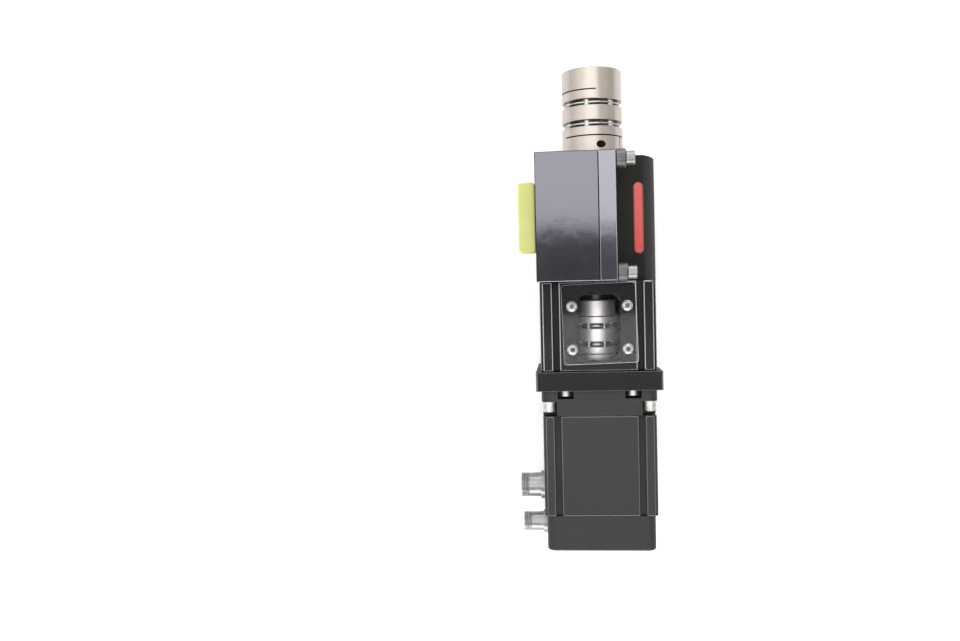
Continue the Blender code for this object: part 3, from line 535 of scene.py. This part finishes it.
def make_stage():
    """A plain pale floor under plain soft light."""
    bpy.ops.mesh.primitive_plane_add(size=12, location=(0, 0, 0))
    floor = named("floor")
    pale = Finish("floor_pale", Roughness=0.9)
    pale.paint(Base_Color=pale.colours(pale.grain(3), (0.93, 0.93, 0.93), (0.95, 0.95, 0.95)))
    floor.data.materials.append(pale.material)
    softbox("back_ceiling", (-0.10, 0.645, 1.35), 1.30, 1.14, 12.5)
    softbox("front_ceiling", (0.05, -0.37, 1.35), 1.60, 0.50, 8.6)
    softbox("left_wall", (-1.1, 0.1, 1.05), 0.9, 1.6, 8.0, lean=-46)
    softbox("right_wall", (1.1, 0.1, 1.05), 0.9, 1.6, 4.5, lean=46)
    softbox("left_low", (-1.3, -0.1, 0.36), 0.4, 1.8, 3.2, lean=-74)
    softbox("right_low", (1.3, -0.1, 0.36), 0.4, 1.8, 2.0, lean=74)
    softbox("front_low", (0, -1.4, 0.6), 2.0, 0.6, 24.0, tip=66)
    softbox("back_low", (0, 1.6, 0.6), 2.0, 0.6, 24.0, tip=-68)
    world = bpy.context.scene.world or bpy.data.worlds.new("room")
    bpy.context.scene.world = world
    world.use_nodes = True
    world.node_tree.nodes["Background"].inputs["Color"].default_value = (0.95, 0.96, 1.0, 1)
    world.node_tree.nodes["Background"].inputs["Strength"].default_value = 0.22
    bpy.context.scene.view_settings.view_transform = "Standard"


# ------------------------------------------------------------------ housing

CHAMBER_RADIUS = 0.0364
LIP_RADIUS = 0.0205             # between the chamber and a bearing's seat
SEAT_RADIUS = 0.0238
SHAFT_OPENING = 0.0155
RIM_ROOM = 0.0018               # beside the pulley's rims
BELT_HALF = 0.0225              # half of the tunnel along the shaft
BELT_ROOM = 0.0049              # of the tunnel over the pulley's teeth
HOUSING_BREAK = 0.0006          # width of the broken edges
SLIVER = 0.00002                # keeps the nose off the flange's face


def housing_tools():
    """The turned hollow for pulley and bearings."""
    ends = high("main_block").y + PAST
    seat_near = low("bearing_outer_upper").y - GAP
    seat_far = high("bearing_outer_upper").y + GAP
    rim = high("pulley_rim_upper").y + RIM_ROOM
    half = [(SHAFT_OPENING, ends), (SHAFT_OPENING, seat_far), (SEAT_RADIUS, seat_far),
            (SEAT_RADIUS, seat_near), (LIP_RADIUS, seat_near), (LIP_RADIUS, rim), (CHAMBER_RADIUS, rim)]
    stations = [(radius, -along) for radius, along in half] + half[::-1]
    return turned("hollow", stations, aimed(on_axis(0), FORTH), 96)


def make_main_block():
    """The block that the rail butts against, with the belt's tunnel."""
    corner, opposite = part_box("main_block")
    block = slab("main_block_body", corner, opposite)
    mouth = high("pulley").z - AXIS_HEIGHT + BELT_ROOM
    tunnel = slab("tunnel", (corner.x - PAST, -BELT_HALF, AXIS_HEIGHT - mouth),
                  (opposite.x + PAST, BELT_HALF, AXIS_HEIGHT + mouth))
    bevelled(block, HOUSING_BREAK, 3)
    cut(block, housing_tools(), tunnel)
    soften(block, 0)
    # The bevels along both sides and at the far end take the painted seam shade.
    trim(block, edge_at(0, corner.x, opposite.x), 1)
    trim(block, edge_at(1, opposite.y), 1)
    # The bevels at the near end take the painted edge highlight.
    trim(block, edge_at(1, corner.y), 2)
    stand_for(block, BLACK_BLOCK, "black_anodised", "main_block", trims=[SEAM_SHADE, PAINTED_EDGE_HIGHLIGHT])


def nose_body(corner, opposite, flange_right):
    """The end cap's round nose, flat above and below, ahead of the flange."""
    half_height = low("badge").z - GAP - AXIS_HEIGHT
    nose = rod("nose", opposite.x, on_axis(corner.y), on_axis(opposite.y), 192)
    past = opposite.x + PAST
    for side in (1, -1):
        cut(nose, slab("waste", (-past, -FAR, AXIS_HEIGHT + side * half_height),
                       (past, FAR, AXIS_HEIGHT + side * past)))
    return cut(nose, slab("waste", (-FAR, -FAR, -FAR), (flange_right + SLIVER, FAR, FAR)))


def make_end_cap():
    """The end cap: a full-height flange and a round nose over the pulley."""
    corner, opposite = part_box("end_cap")
    flange_right = low("screw_collar_1").x - GAP
    flange = slab("end_cap_body", corner, (flange_right, opposite.y, opposite.z))
    nose = nose_body(corner, opposite, flange_right)
    bevelled(flange, HOUSING_BREAK, 3)
    cut(flange, housing_tools())
    cut(nose, housing_tools())
    soften(flange, 0, angle=28)
    soften(nose, 0.0004, 3, 28)
    # The bevels at the far end take the painted seam shade.
    trim(flange, edge_at(1, opposite.y), 1)
    # These bevels take the painted edge highlight.
    trim(flange, edge_at(0, flange_right), 2)
    trim(flange, edge_at(1, corner.y), 2)
    trim(flange, edge_at(0, corner.x), 2)
    stand_for(flange, BLACK_CAP, "black_anodised", "end_cap", trims=[SEAM_SHADE, PAINTED_EDGE_HIGHLIGHT])
    stand_for(nose, BLACK_NOSE, "black_anodised", "end_cap")


def make_bumper():
    """The moulded stop, with round corners and soft edges."""
    pad_corner, pad_edge = 0.0032, 0.0012
    pad = slab("bumper_pad", *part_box("bumper"))
    round_edges(pad, runs_along(2), pad_corner, 6)
    soften(pad, pad_edge, 4)
    stand_for(pad, RUBBER, "bumper_polyurethane", "bumper")


def make_badge():
    """A plain pill with a domed face in a darker rim, which shows wider on the right as painted shade on that
    edge.
    """
    corner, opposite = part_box("badge")
    step, dome, round_share = 0.0006, 0.0007, 0.495
    wide = opposite.x - corner.x
    rim = slab("badge_rim", corner, (opposite.x, opposite.y, opposite.z - step))
    round_edges(rim, runs_along(2), wide * round_share, 16)
    soften(rim, 0.0002, 2)
    # The face stops further in on the right, so more of the dark rim shows there: painted shade on the right
    # edge.
    shade_step = 0.0010
    face = slab("badge_face", corner + Vector((step, step, step)), opposite - Vector((shade_step, step, 0)))
    round_edges(face, runs_along(2), (wide - step - shade_step) * round_share, 16)
    top = opposite.z - SAME
    round_edges(face, lambda a, b: a.z > top and b.z > top, dome, 5)
    soften(face, 0)
    stand_for(rim, RED_RIM, "badge_red", "badge")
    stand_for(face, RED, "badge_red", "badge")


# ------------------------------------------------------------------ screws

Head = namedtuple("Head", "radius height thread")
M8 = Head(0.0065, 0.008, 0.004)
M8_WASHERED = Head(0.0065, 0.0098, 0.004)       # as high as the head with its washer
M6 = Head(0.005, 0.0055, 0.003)
M5_BUTTON = Head(0.0053, 0.0029, 0.0025)
DOME_ARC = (8, 24, 40, 56, 70)  # degrees up a domed head
HEAD_CHAMFER = 0.06             # these are shares of the head's or the thread's radius
KEY_SHARE = 0.46
WIDE_KEY_SHARE = 0.50
TIP_SHARE = 0.8
TIP_LENGTH = 0.3
KEY_FLOOR = 0.35                # share of the head left under the socket
SOCKET_START = 0.3              # share of the head below every face of the socket
SCREW_SIDES = 48
SCREW_BREAK = 0.00015


def in_socket(reach, height):
    """Test for the faces inside a screw's hex socket."""
    return lambda face: (face.center.xy.length < reach
                         and height * SOCKET_START < face.center.z < height - SAME)


def socketed(screw, head, share):
    """Sink the hex socket, break the edges and mark the socket's faces, which take the painted shade."""
    reach = head.radius * share
    cut(screw, rod("key", reach, (0, 0, head.height * KEY_FLOOR), (0, 0, head.height + PAST), 6))
    soften(screw, SCREW_BREAK, 2, 40)
    return trim(screw, in_socket(reach, head.height))


def socket_screw(name, head, length, domed=False):
    """A socket screw along +Z, seated at 0: chamfered or domed head, hex socket, thread below."""
    radius, height, thread = head
    if domed:
        arc = [math.radians(degrees) for degrees in DOME_ARC]
        rise = height / math.sin(arc[-1])
        top = [(radius * 0.98, 0)] + [(radius * math.cos(a), rise * math.sin(a)) for a in arc]
    else:
        chamfer = HEAD_CHAMFER * radius
        top = [(radius, 0), (radius, height - chamfer), (radius - chamfer, height)]
    stem = [(thread * TIP_SHARE, -length), (thread, -length + thread * TIP_LENGTH), (thread, -0.0002)]
    return socketed(turned(name, stem + top, Matrix(), SCREW_SIDES), head, KEY_SHARE)


def lipped_screw(name, head, length):
    """A socket screw whose slimmer head stands on a wide lip."""
    radius, height, thread = head
    lip, slope, chamfer = 0.0014, 0.0005, 0.0005
    stations = [(thread * TIP_SHARE, -length), (thread, -length + 0.001), (thread, 0), (radius, 0),
                (radius, lip), (radius * 0.90, lip + slope), (radius * 0.90, height - chamfer),
                (radius * 0.84, height)]
    return socketed(turned(name, stations, Matrix(), SCREW_SIDES), head, WIDE_KEY_SHARE)


def place_screws(master, names, direction, head, finish):
    """Put copies of a screw where the CAD screws are, heads towards direction."""
    for name in names:
        reach = abs(size(name).dot(direction)) / 2
        seat = middle(name) + direction * (reach - head.height)
        screw = copied(master, name + "_body", aimed(seat, direction))
        # The hex socket takes the painted shade.
        stand_for(screw, finish, "bright_steel", name, trims=[SOCKET_SHADE])
    bpy.data.objects.remove(master)


def numbered(stem, first=1, last=4):
    """Names of nodes that differ by their number."""
    return [f"{stem}_{number}" for number in range(first, last + 1)]


def make_screws():
    """Every screw that shows, as long as its CAD screw."""
    for name, first in (("m8_long", 1), ("m8_short", 3)):
        names = numbered("cap_screw", first, first + 1)
        master = socket_screw(name, M8, size(names[0]).x - M8.height)
        place_screws(master, names, RIGHT, M8, GREY_HEAD)
    master = lipped_screw("m8_motor", M8_WASHERED, size("motor_screw_1").y - M8_WASHERED.height)
    place_screws(master, numbered("motor_screw"), BACK, M8_WASHERED, ZINC)
    master = socket_screw("m6_plate", M6, size("plate_screw_1").y - M6.height)
    place_screws(master, numbered("plate_screw"), BACK, M6, ZINC)
    master = socket_screw("m5_button", M5_BUTTON, size("window_screw_1").z - M5_BUTTON.height, domed=True)
    place_screws(master, numbered("window_screw"), UP, M5_BUTTON, ZINC)


def make_collars():
    """The thick collars under the two cap screws that show."""
    foot, rim, bore = 0.0008, 0.0012, 0.0044
    for node in numbered("screw_collar", 1, 2):
        long, outer = size(node).x, size(node).z / 2
        stations = [(outer - foot, 0), (outer, foot), (outer, long - rim), (outer - rim, long),
                    (bore, long), (bore, 0)]
        place = aimed((low(node).x, middle(node).y, middle(node).z), RIGHT)
        collar = turned(node + "_body", stations, place, 64, ring=True)
        stand_for(soften(collar, 0.0002), DARK, "dark_steel", node)


# ------------------------------------------------------------------ couplings

Coupling = namedtuple("Coupling", "radius clamp screw bores turns screw_sides bolt_turn")
COUPLINGS = {
    "upper": Coupling(0.02975, 0.0210, 0.0020, {"near": 0.0103, "far": 0.0103},
                      {"near": 152, "far": 207}, {"near": -1, "far": 1}, math.radians(44)),
    "lower": Coupling(0.0200, 0.0154, 0.0020, {"near": 0.0078, "far": 0.0098},
                      {"near": 30, "far": 150}, {"near": -1, "far": 1}, 0.0)}
SLIT = 0.0013                   # width of the slit across a hub and of the split along it
HUB_WEB_SHARE = 0.55            # these are shares of the coupling's own radius
GRIP_SHARE = 0.55
HOLE_SHARE = 0.57
SEAT_SHARE = 0.12
DISC_SHARE = 1.02
DISC_CORNER_SHARE = 0.34
DISC_BORE_SHARE = 0.48
RING_BORE_SHARE = 0.45
WASHER_SHARE = 0.11
BOLT_CIRCLE_SHARE = 0.78
SCREW_PLACE = 0.6               # share of the clamp's length
CLAMP_HEAD = (1.6, 1.8)         # head radius and height over the thread's radius
FINE_BREAK = 0.00018
BOLTS = 6


def hub_body(name, kind, bore, long, seat, out):
    """A hub's turned body along +Z, with its slit, its split and the clamp screw's pocket."""
    radius, clamp = kind.radius, kind.clamp
    start_edge, end_edge, overlap = 0.0008, 0.0005, 0.0006
    stations = [(radius - start_edge, 0), (radius, start_edge), (radius, long - end_edge),
                (radius - end_edge, long), (bore, long), (bore, 0)]
    hub = turned(name, stations, Matrix(), 128, ring=True)
    past = radius + PAST
    slit = slab("slit", (-HUB_WEB_SHARE * radius, -past, clamp), (past, past, clamp + SLIT))
    split = slab("split", (0, -SLIT / 2, -PAST), (past, SLIT / 2, clamp + overlap))
    pocket = rod("pocket", kind.screw * CLAMP_HEAD[0] + GAP, seat, seat + out * radius, 40)
    hole = rod("hole", kind.screw + GAP, seat - out * radius * HOLE_SHARE, seat + out * GAP, 32)
    cut(hub, slit, split, pocket, hole)
    return soften(hub, FINE_BREAK, 2, 40)


def make_hub(which, end, finish):
    """A clamping hub and its screw, turned to their places."""
    node = f"{which}_coupling_{end}_hub"
    kind = COUPLINGS[which]
    upward = 1 if which == "upper" else -1
    outward = FORTH * (upward if end == "near" else -upward)
    start = low(node).y if outward.y > 0 else high(node).y
    bore, side = kind.bores[end], kind.screw_sides[end]
    out = FORTH * side
    seat = Vector(((kind.radius + bore - GAP) / 2, side * kind.radius * SEAT_SHARE, kind.clamp * SCREW_PLACE))
    hub = hub_body(node + "_body", kind, bore, size(node).y, seat, out)
    place = aimed(on_axis(start), outward) @ Matrix.Rotation(math.radians(kind.turns[end]), 4, "Z")
    head = Head(kind.screw * CLAMP_HEAD[0], kind.screw * CLAMP_HEAD[1], kind.screw)
    screw = socket_screw(f"{which}_coupling_{end}_clamp", head, kind.radius * GRIP_SHARE)
    lay(screw, place @ aimed(seat, out))
    lay(hub, place)
    stand_for(hub, finish, "champagne_anodised", node)
    # The clamp screw's hex socket takes the painted shade.
    stand_for(screw, DARK, "dark_steel", f"{which}_coupling_{end}_clamp_screw", trims=[SOCKET_SHADE])


def spring_discs(kind, place):
    """Three thin discs with six sides, round corners and an eye."""
    pitch, half = 0.00045, 0.00017
    outer = kind.radius * DISC_SHARE
    discs = []
    for layer in (-pitch, 0.0, pitch):
        disc = turned("disc", [(outer, layer - half), (outer, layer + half)], Matrix(), BOLTS)
        round_edges(disc, runs_along(2), DISC_CORNER_SHARE * kind.radius, 10)
        cut(disc, rod("eye", DISC_BORE_SHARE * kind.radius, (0, 0, -PAST), (0, 0, PAST), 64))
        discs.append(lay(disc, place @ Matrix.Rotation(kind.bolt_turn, 4, "Z")))
    return discs


def washer_stacks(kind, half, place):
    """A stack of washers at each of the bolts."""
    wide = WASHER_SHARE * kind.radius
    neck, belt = wide * 0.8, wide * 1.1
    inner, outer = 0.0006, 0.0012
    stations = [(wide, -half), (wide, -outer), (neck, -outer), (neck, -inner), (belt, -inner),
                (belt, inner), (neck, inner), (neck, outer), (wide, outer), (wide, half)]
    circle = BOLT_CIRCLE_SHARE * kind.radius
    stacks = []
    for bolt in range(BOLTS):
        angle = kind.bolt_turn + bolt * math.tau / BOLTS
        spot = Vector((circle * math.cos(angle), circle * math.sin(angle), 0))
        stacks.append(lay(turned("stack", stations, Matrix(), 24), place @ Matrix.Translation(spot)))
    return stacks


def make_disc_pack(which, end):
    """A pack of thin spring discs with a washer stack at each of its six bolts."""
    node = f"{which}_disc_pack_{end}"
    kind = COUPLINGS[which]
    place = aimed(on_axis(middle(node).y), BACK)
    pack = joined(spring_discs(kind, place) + washer_stacks(kind, size(node).y / 2, place))
    pack.name = node + "_body"
    stand_for(soften(pack, 0), BRIGHT, "bright_steel", node)


def make_coupling_centre(which, finish):
    """The ring between the two disc packs."""
    node = f"{which}_coupling_centre"
    radius, long = COUPLINGS[which].radius, size(node).y
    eye, edge = radius * RING_BORE_SHARE, 0.0005
    stations = [(radius - edge, 0), (radius, edge), (radius, long - edge), (radius - edge, long),
                (eye, long), (eye, 0)]
    ring = turned(node + "_body", stations, aimed(on_axis(low(node).y), FORTH), 128, ring=True)
    stand_for(soften(ring, FINE_BREAK), finish, "champagne_anodised", node)


def make_couplings():
    """Both double-disc couplings."""
    for which, finish in (("upper", CHAMPAGNE), ("lower", SILVER)):
        for end in ("near", "far"):
            make_hub(which, end, finish)
            make_disc_pack(which, end)
        make_coupling_centre(which, finish)


# ------------------------------------------------------------------ lantern and plate

PANEL_HALF = 0.0368
GROOVE_WIDTH = 0.0062
GROOVE_CUT = 0.0040
CORNER = 0.0042                 # radius of a square section's long corners
LANTERN_HALF = 0.055
LANTERN_BREAK = 0.0011
THROAT_RADIUS = 0.028           # of the bore round the small coupling
OPENING_CENTRE = (0.0015, -0.104)
OPENING_HALF = (0.0205, 0.031)
OPENING_HEIGHTS = (0.002, 0.057)        # over the shaft axis
WINDOW_HALF = Vector((0.035, 0.038, 0.0015))
WINDOW_TILT = math.radians(1.5)
WINDOW_HOLE = 0.0029


def grooves(half, start, end):
    """Tools for the grooves beside the four panels of a square section."""
    back, front = start - PAST, end + PAST
    tools = []
    for side in (-1, 1):
        near, far = sorted((side * PANEL_HALF, side * (PANEL_HALF + GROOVE_WIDTH)))
        for face in (-1, 1):
            inner, outer = sorted((face * (half - GROOVE_CUT), face * (half + PAST)))
            tools.append(slab("groove", (near, back, AXIS_HEIGHT + inner), (far, front, AXIS_HEIGHT + outer)))
            tools.append(slab("groove", (inner, back, AXIS_HEIGHT + near), (outer, front, AXIS_HEIGHT + far)))
    return tools


def grooved_body(name, node, half, broken):
    """A square section with round corners and a groove at each side of its panels."""
    start, end = low(node).y, high(node).y
    body = slab(name, (-half, start, AXIS_HEIGHT - half), (half, end, AXIS_HEIGHT + half))
    round_edges(body, runs_along(1), CORNER, 8)
    cut(body, *grooves(half, start, end))
    return bevelled(body, broken, 3)


def in_groove(half):
    """Test for the walls and floors of the grooves in a square section."""
    slack, below, above = 0.0002, 0.0006, 0.0013

    def wanted(face):
        across, up = sorted((abs(face.center.x), abs(face.center.z - AXIS_HEIGHT)))
        inside = PANEL_HALF - slack < across < PANEL_HALF + GROOVE_WIDTH + slack
        return inside and half - GROOVE_CUT - below < up < half - above
    return wanted


def trim_section(body, half):
    """Mark a grooved section's broken edges, which take a painted edge highlight, and its grooves, and leave
    its round corners plain.
    """
    soften(body, 0)
    trim(body, broken_edge)
    trim(body, corner_flank(half), 0)
    return trim(body, in_groove(half), 2)


def make_lantern():
    """The lantern, with its window opening and the bore for the coupling."""
    body = grooved_body("lantern_body", "lantern", LANTERN_HALF, LANTERN_BREAK)
    start, end = low("lantern").y, high("lantern").y
    bore = rod("bore", THROAT_RADIUS, on_axis(start - PAST), on_axis(end + PAST), 128)
    (across, along), (half_across, half_along) = OPENING_CENTRE, OPENING_HALF
    bottom, top = OPENING_HEIGHTS
    opening = slab("opening", (across - half_across, along - half_along, AXIS_HEIGHT + bottom),
                   (across + half_across, along + half_along, AXIS_HEIGHT + top))
    round_edges(opening, runs_along(2), 0.008, 8)
    cut(body, bore, opening)
    trim_section(body, LANTERN_HALF)
    # Its broken edges take the painted edge highlight.
    stand_for(body, BLACK_LANTERN, "black_plate", "lantern", trims=[PAINTED_EDGE_HIGHLIGHT, BLACK_GROOVE])


def make_window():
    """The clear plate, a little askew, with round corners and glossy near-white edges."""
    plate = slab("window_plate_body", -WINDOW_HALF, WINDOW_HALF)
    round_edges(plate, runs_along(2), 0.003, 6)
    lay(plate, Matrix.Translation(middle("window_plate")) @ Matrix.Rotation(WINDOW_TILT, 4, "Z"))
    reach = UP * 0.02
    spots = [middle(node) for node in numbered("window_screw")]
    cut(plate, *[rod("hole", WINDOW_HOLE, spot - reach, spot + reach, 32) for spot in spots])
    soften(plate, 0.0013, 3)
    trim(plate, lambda face: abs(face.normal.z) < ALIGNED)
    stand_for(plate, CLEAR, "clear_plastic", "window_plate", trims=[EDGE])


def make_adapter_plate():
    """The square plate between lantern and motor."""
    plate = slab("adapter_plate_body", *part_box("adapter_plate"))
    round_edges(plate, runs_along(1), 0.0016, 2)
    start, end = low("adapter_plate").y, high("adapter_plate").y
    cut(plate, rod("throat", THROAT_RADIUS, on_axis(start - PAST), on_axis(end + PAST), 96))
    soften(plate, 0.0004, 2)
    # Its broken edges take the painted edge highlight.
    trim(plate, broken_edge)
    stand_for(plate, BLACK_PLATE, "black_plate", "adapter_plate", trims=[SOFT_EDGE_HIGHLIGHT])


# ------------------------------------------------------------------ motor

MOTOR_HALF = 0.054
MOTOR_BREAK = 0.0010
MOTOR_CLEAR = 0.060             # outside every side of the motor
COVER_CORNER = 0.008
FLANGE_THICKNESS = 0.010
NOTCH_START = 0.0405            # where the screws' corner notches begin
POCKET_PLACE = 0.032            # of the plate screws' pockets across the shaft
POCKET_HALF = 0.0076
POCKET_DEPTH = 0.0075
POCKET_START = 0.0399
PIP_PLACE = (0.0265, 0.0012)    # across, and ahead of the cover's rear face
PIP_RADIUS = 0.0008
PIP_DEPTH = 0.0006


def motor_bell(back, flange_back):
    """The end bell behind the flange, with a notch for each corner screw."""
    weld_depth = 0.001
    bell = slab("bell", (-MOTOR_HALF, back, AXIS_HEIGHT - MOTOR_HALF),
                (MOTOR_HALF, flange_back + weld_depth, AXIS_HEIGHT + MOTOR_HALF))
    for side in (-1, 1):
        left, right = sorted((side * NOTCH_START, side * MOTOR_CLEAR))
        for face in (-1, 1):
            below, above = sorted((face * NOTCH_START, face * MOTOR_CLEAR))
            cut(bell, slab("notch", (left, back - PAST, AXIS_HEIGHT + below),
                           (right, flange_back, AXIS_HEIGHT + above)))
    return bell


def cut_plate_pockets(flange, front):
    """Pockets for the heads of the screws that hold the adapter plate."""
    for side in (-1, 1):
        for face in (-1, 1):
            inner, outer = sorted((face * POCKET_START, face * MOTOR_CLEAR))
            across = side * POCKET_PLACE
            cut(flange, slab("pocket", (across - POCKET_HALF, front - POCKET_DEPTH, AXIS_HEIGHT + inner),
                             (across + POCKET_HALF, front + PAST, AXIS_HEIGHT + outer)))


def make_front_cover():
    """The motor's flange and end bell in one casting."""
    corner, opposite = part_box("motor_front_cover")
    front = low("adapter_plate").y - GAP
    flange_back = front - FLANGE_THICKNESS
    cover = slab("motor_front_cover_body", (corner.x, flange_back, corner.z), (opposite.x, front, opposite.z))
    round_edges(cover, runs_along(1), COVER_CORNER, 8)
    weld(cover, motor_bell(corner.y, flange_back))
    cut_plate_pockets(cover, front)
    for side in (-1, 1):
        spot = Vector((side * PIP_PLACE[0], corner.y + PIP_PLACE[1], AXIS_HEIGHT + MOTOR_HALF))
        cut(cover, rod("pip", PIP_RADIUS, spot - UP * PIP_DEPTH, spot + UP * PAST, 20))
    soften(cover, 0.0005, 2)
    # The bevels at the flange's faces and at the bell's back take the painted edge highlight.
    trim(cover, edge_at(1, front, flange_back, corner.y))
    stand_for(cover, PAINT, "motor_paint", "motor_front_cover", trims=[SOFT_EDGE_HIGHLIGHT])


def make_motor_body():
    """The extruded body with its grooves."""
    body = grooved_body("motor_housing_body", "motor_housing", MOTOR_HALF, MOTOR_BREAK)
    # Its broken edges take the painted edge highlight.
    trim_section(body, MOTOR_HALF)
    stand_for(body, PAINT, "motor_paint", "motor_housing", trims=[SOFT_EDGE_HIGHLIGHT, PAINT_GROOVE])


def make_rear_cover():
    """The rear cover, rounded at its corners and at its back."""
    cover = slab("motor_rear_cover_body", *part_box("motor_rear_cover"))
    round_edges(cover, runs_along(1), COVER_CORNER, 10)
    back = low("motor_rear_cover").y + SAME
    round_edges(cover, lambda a, b: a.y < back and b.y < back, 0.0025, 4)
    soften(cover, 0.0003, 2)
    stand_for(cover, PAINT, "motor_paint", "motor_rear_cover")


# ------------------------------------------------------------------ cable sockets

SOCKET_STEP = 0.0018            # foot's radius over the shell's
SOCKET_WALL = 0.0018
SOCKET_FOOT = 0.004
SOCKET_FLOOR = 0.010
THREAD_TURNS = 5
THREAD_START = 0.0085           # back from the mouth
THREAD_PITCH = 0.0016
THREAD_DEPTH = 0.0005
MOUTH_CHAMFER = 0.0003
INSERT_ROOM = 0.0003
INSERT_HEIGHTS = (0.0002, 0.004)        # over the socket's floor
CONTACT_RADIUS = 0.0007
CONTACT_HEIGHTS = (0.0041, 0.0100, 0.0106)
CONTACT_CIRCLE_SHARE = 0.58


def socket_shell(node, shell, mouth, place):
    """The stepped shell, with a thread for the plug's ring."""
    radius, long = size(node).y / 2, size(node).x
    stations = [(radius, 0), (radius, SOCKET_FOOT), (shell, SOCKET_FOOT)]
    for turn in range(THREAD_TURNS):
        along = long - THREAD_START + turn * THREAD_PITCH
        stations += [(shell - THREAD_DEPTH, along), (shell, along + THREAD_PITCH / 2)]
    stations += [(shell - MOUTH_CHAMFER, long), (mouth, long), (mouth, SOCKET_FLOOR)]
    return soften(turned(node + "_body", stations, place, 64), 0.00015)


def socket_contacts(node, mouth, pins, place):
    """The contact pins on their circle."""
    root, shoulder, tip = [SOCKET_FLOOR + height for height in CONTACT_HEIGHTS]
    stations = [(CONTACT_RADIUS, root), (CONTACT_RADIUS, shoulder), (0.0004, tip)]
    circle = mouth * CONTACT_CIRCLE_SHARE
    contacts = []
    for pin in range(pins):
        angle = math.tau * pin / pins
        spot = Vector((circle * math.cos(angle), circle * math.sin(angle), 0))
        contacts.append(lay(turned("contact", stations, Matrix(), 20), place @ Matrix.Translation(spot)))
    group = joined(contacts)
    group.name = node + "_contacts"
    return soften(group, 0)


def make_socket(node, pins):
    """A round cable socket: its shell, an insert and its contacts."""
    shell = size(node).y / 2 - SOCKET_STEP
    mouth = shell - SOCKET_WALL
    place = aimed((high(node).x, middle(node).y, AXIS_HEIGHT), LEFT)
    stand_for(socket_shell(node, shell, mouth, place), SOCKET_METAL, "connector_metal", node)
    wide = mouth - INSERT_ROOM
    start, end = [SOCKET_FLOOR + height for height in INSERT_HEIGHTS]
    insert = turned(node + "_insert", [(wide, start), (wide, end)], place, 64)
    stand_for(soften(insert, 0.0003), INSERT, "connector_metal", node)
    stand_for(socket_contacts(node, mouth, pins, place), CONTACT, "connector_metal", node)


# ------------------------------------------------------------------ pulley and shaft

TEETH = 25
TIP_RADIUS = 0.03114
GROOVE_DEPTH = 0.0034
GROOVE_RADIUS = 0.0026
PULLEY_BORE = 0.0113
SLEEVE_BORE = 0.0103


def make_pulley():
    """The toothed pulley."""
    half = size("pulley").y / 2
    body = turned("pulley_body", [(TIP_RADIUS, -half), (TIP_RADIUS, half), (PULLEY_BORE, half),
                                  (PULLEY_BORE, -half)], aimed(on_axis(0), FORTH), TEETH * 8, ring=True)
    reach = TIP_RADIUS - GROOVE_DEPTH + GROOVE_RADIUS
    past = FORTH * (half + PAST)
    tools = []
    for tooth in range(TEETH):
        angle = math.tau * tooth / TEETH
        spot = Vector((reach * math.cos(angle), 0, AXIS_HEIGHT + reach * math.sin(angle)))
        tools.append(rod("groove", GROOVE_RADIUS, spot - past, spot + past, 24))
    cut(body, joined(tools))
    soften(body, 0.0002, 2, 40)
    stand_for(body, PULLEY_ALLOY, "pulley_alloy", "pulley")


def plain_ring(node, bore, sides):
    """A ring along the shaft with the CAD node's width and outside."""
    wide, long = size(node).z / 2, size(node).y
    return turned(node + "_body", [(wide, 0), (wide, long), (bore, long), (bore, 0)],
                  aimed(on_axis(low(node).y), FORTH), sides, ring=True)


def make_rims_and_sleeves():
    """The pulley's rims and the sleeves between pulley and bearings."""
    for side in ("upper", "lower"):
        rim, sleeve = f"pulley_rim_{side}", f"spacer_sleeve_{side}"
        stand_for(soften(plain_ring(rim, PULLEY_BORE, 96), 0.0004, 3), GROUND, "bright_steel", rim)
        stand_for(soften(plain_ring(sleeve, SLEEVE_BORE, 64), 0.0003), DARK, "dark_steel", sleeve)


def finish_hidden_nodes():
    """Finishes for the CAD nodes that stay as they are, inside the housing and the motor."""
    hidden = {GROUND: ["pulley_shaft", "motor_rotor", "bearing_inner_upper", "bearing_inner_lower",
                       "bearing_outer_upper", "bearing_outer_lower"],
              DARK: ["shaft_key"],
              PULLEY_ALLOY: ["ball_cage_upper", "ball_cage_lower"],
              LAMINATION: ["motor_stator"]}
    for finish, nodes in hidden.items():
        for node in nodes:
            mesh = frame["nodes"][node].data
            mesh.materials.clear()
            mesh.materials.append(finish)


make_camera()
make_stage()
make_main_block()
make_end_cap()
make_bumper()
make_badge()
make_screws()
make_collars()
make_couplings()
make_lantern()
make_window()
make_adapter_plate()
make_front_cover()
make_motor_body()
make_rear_cover()
make_socket("power_socket", 4)
make_socket("signal_socket", 7)
make_pulley()
make_rims_and_sleeves()
finish_hidden_nodes()
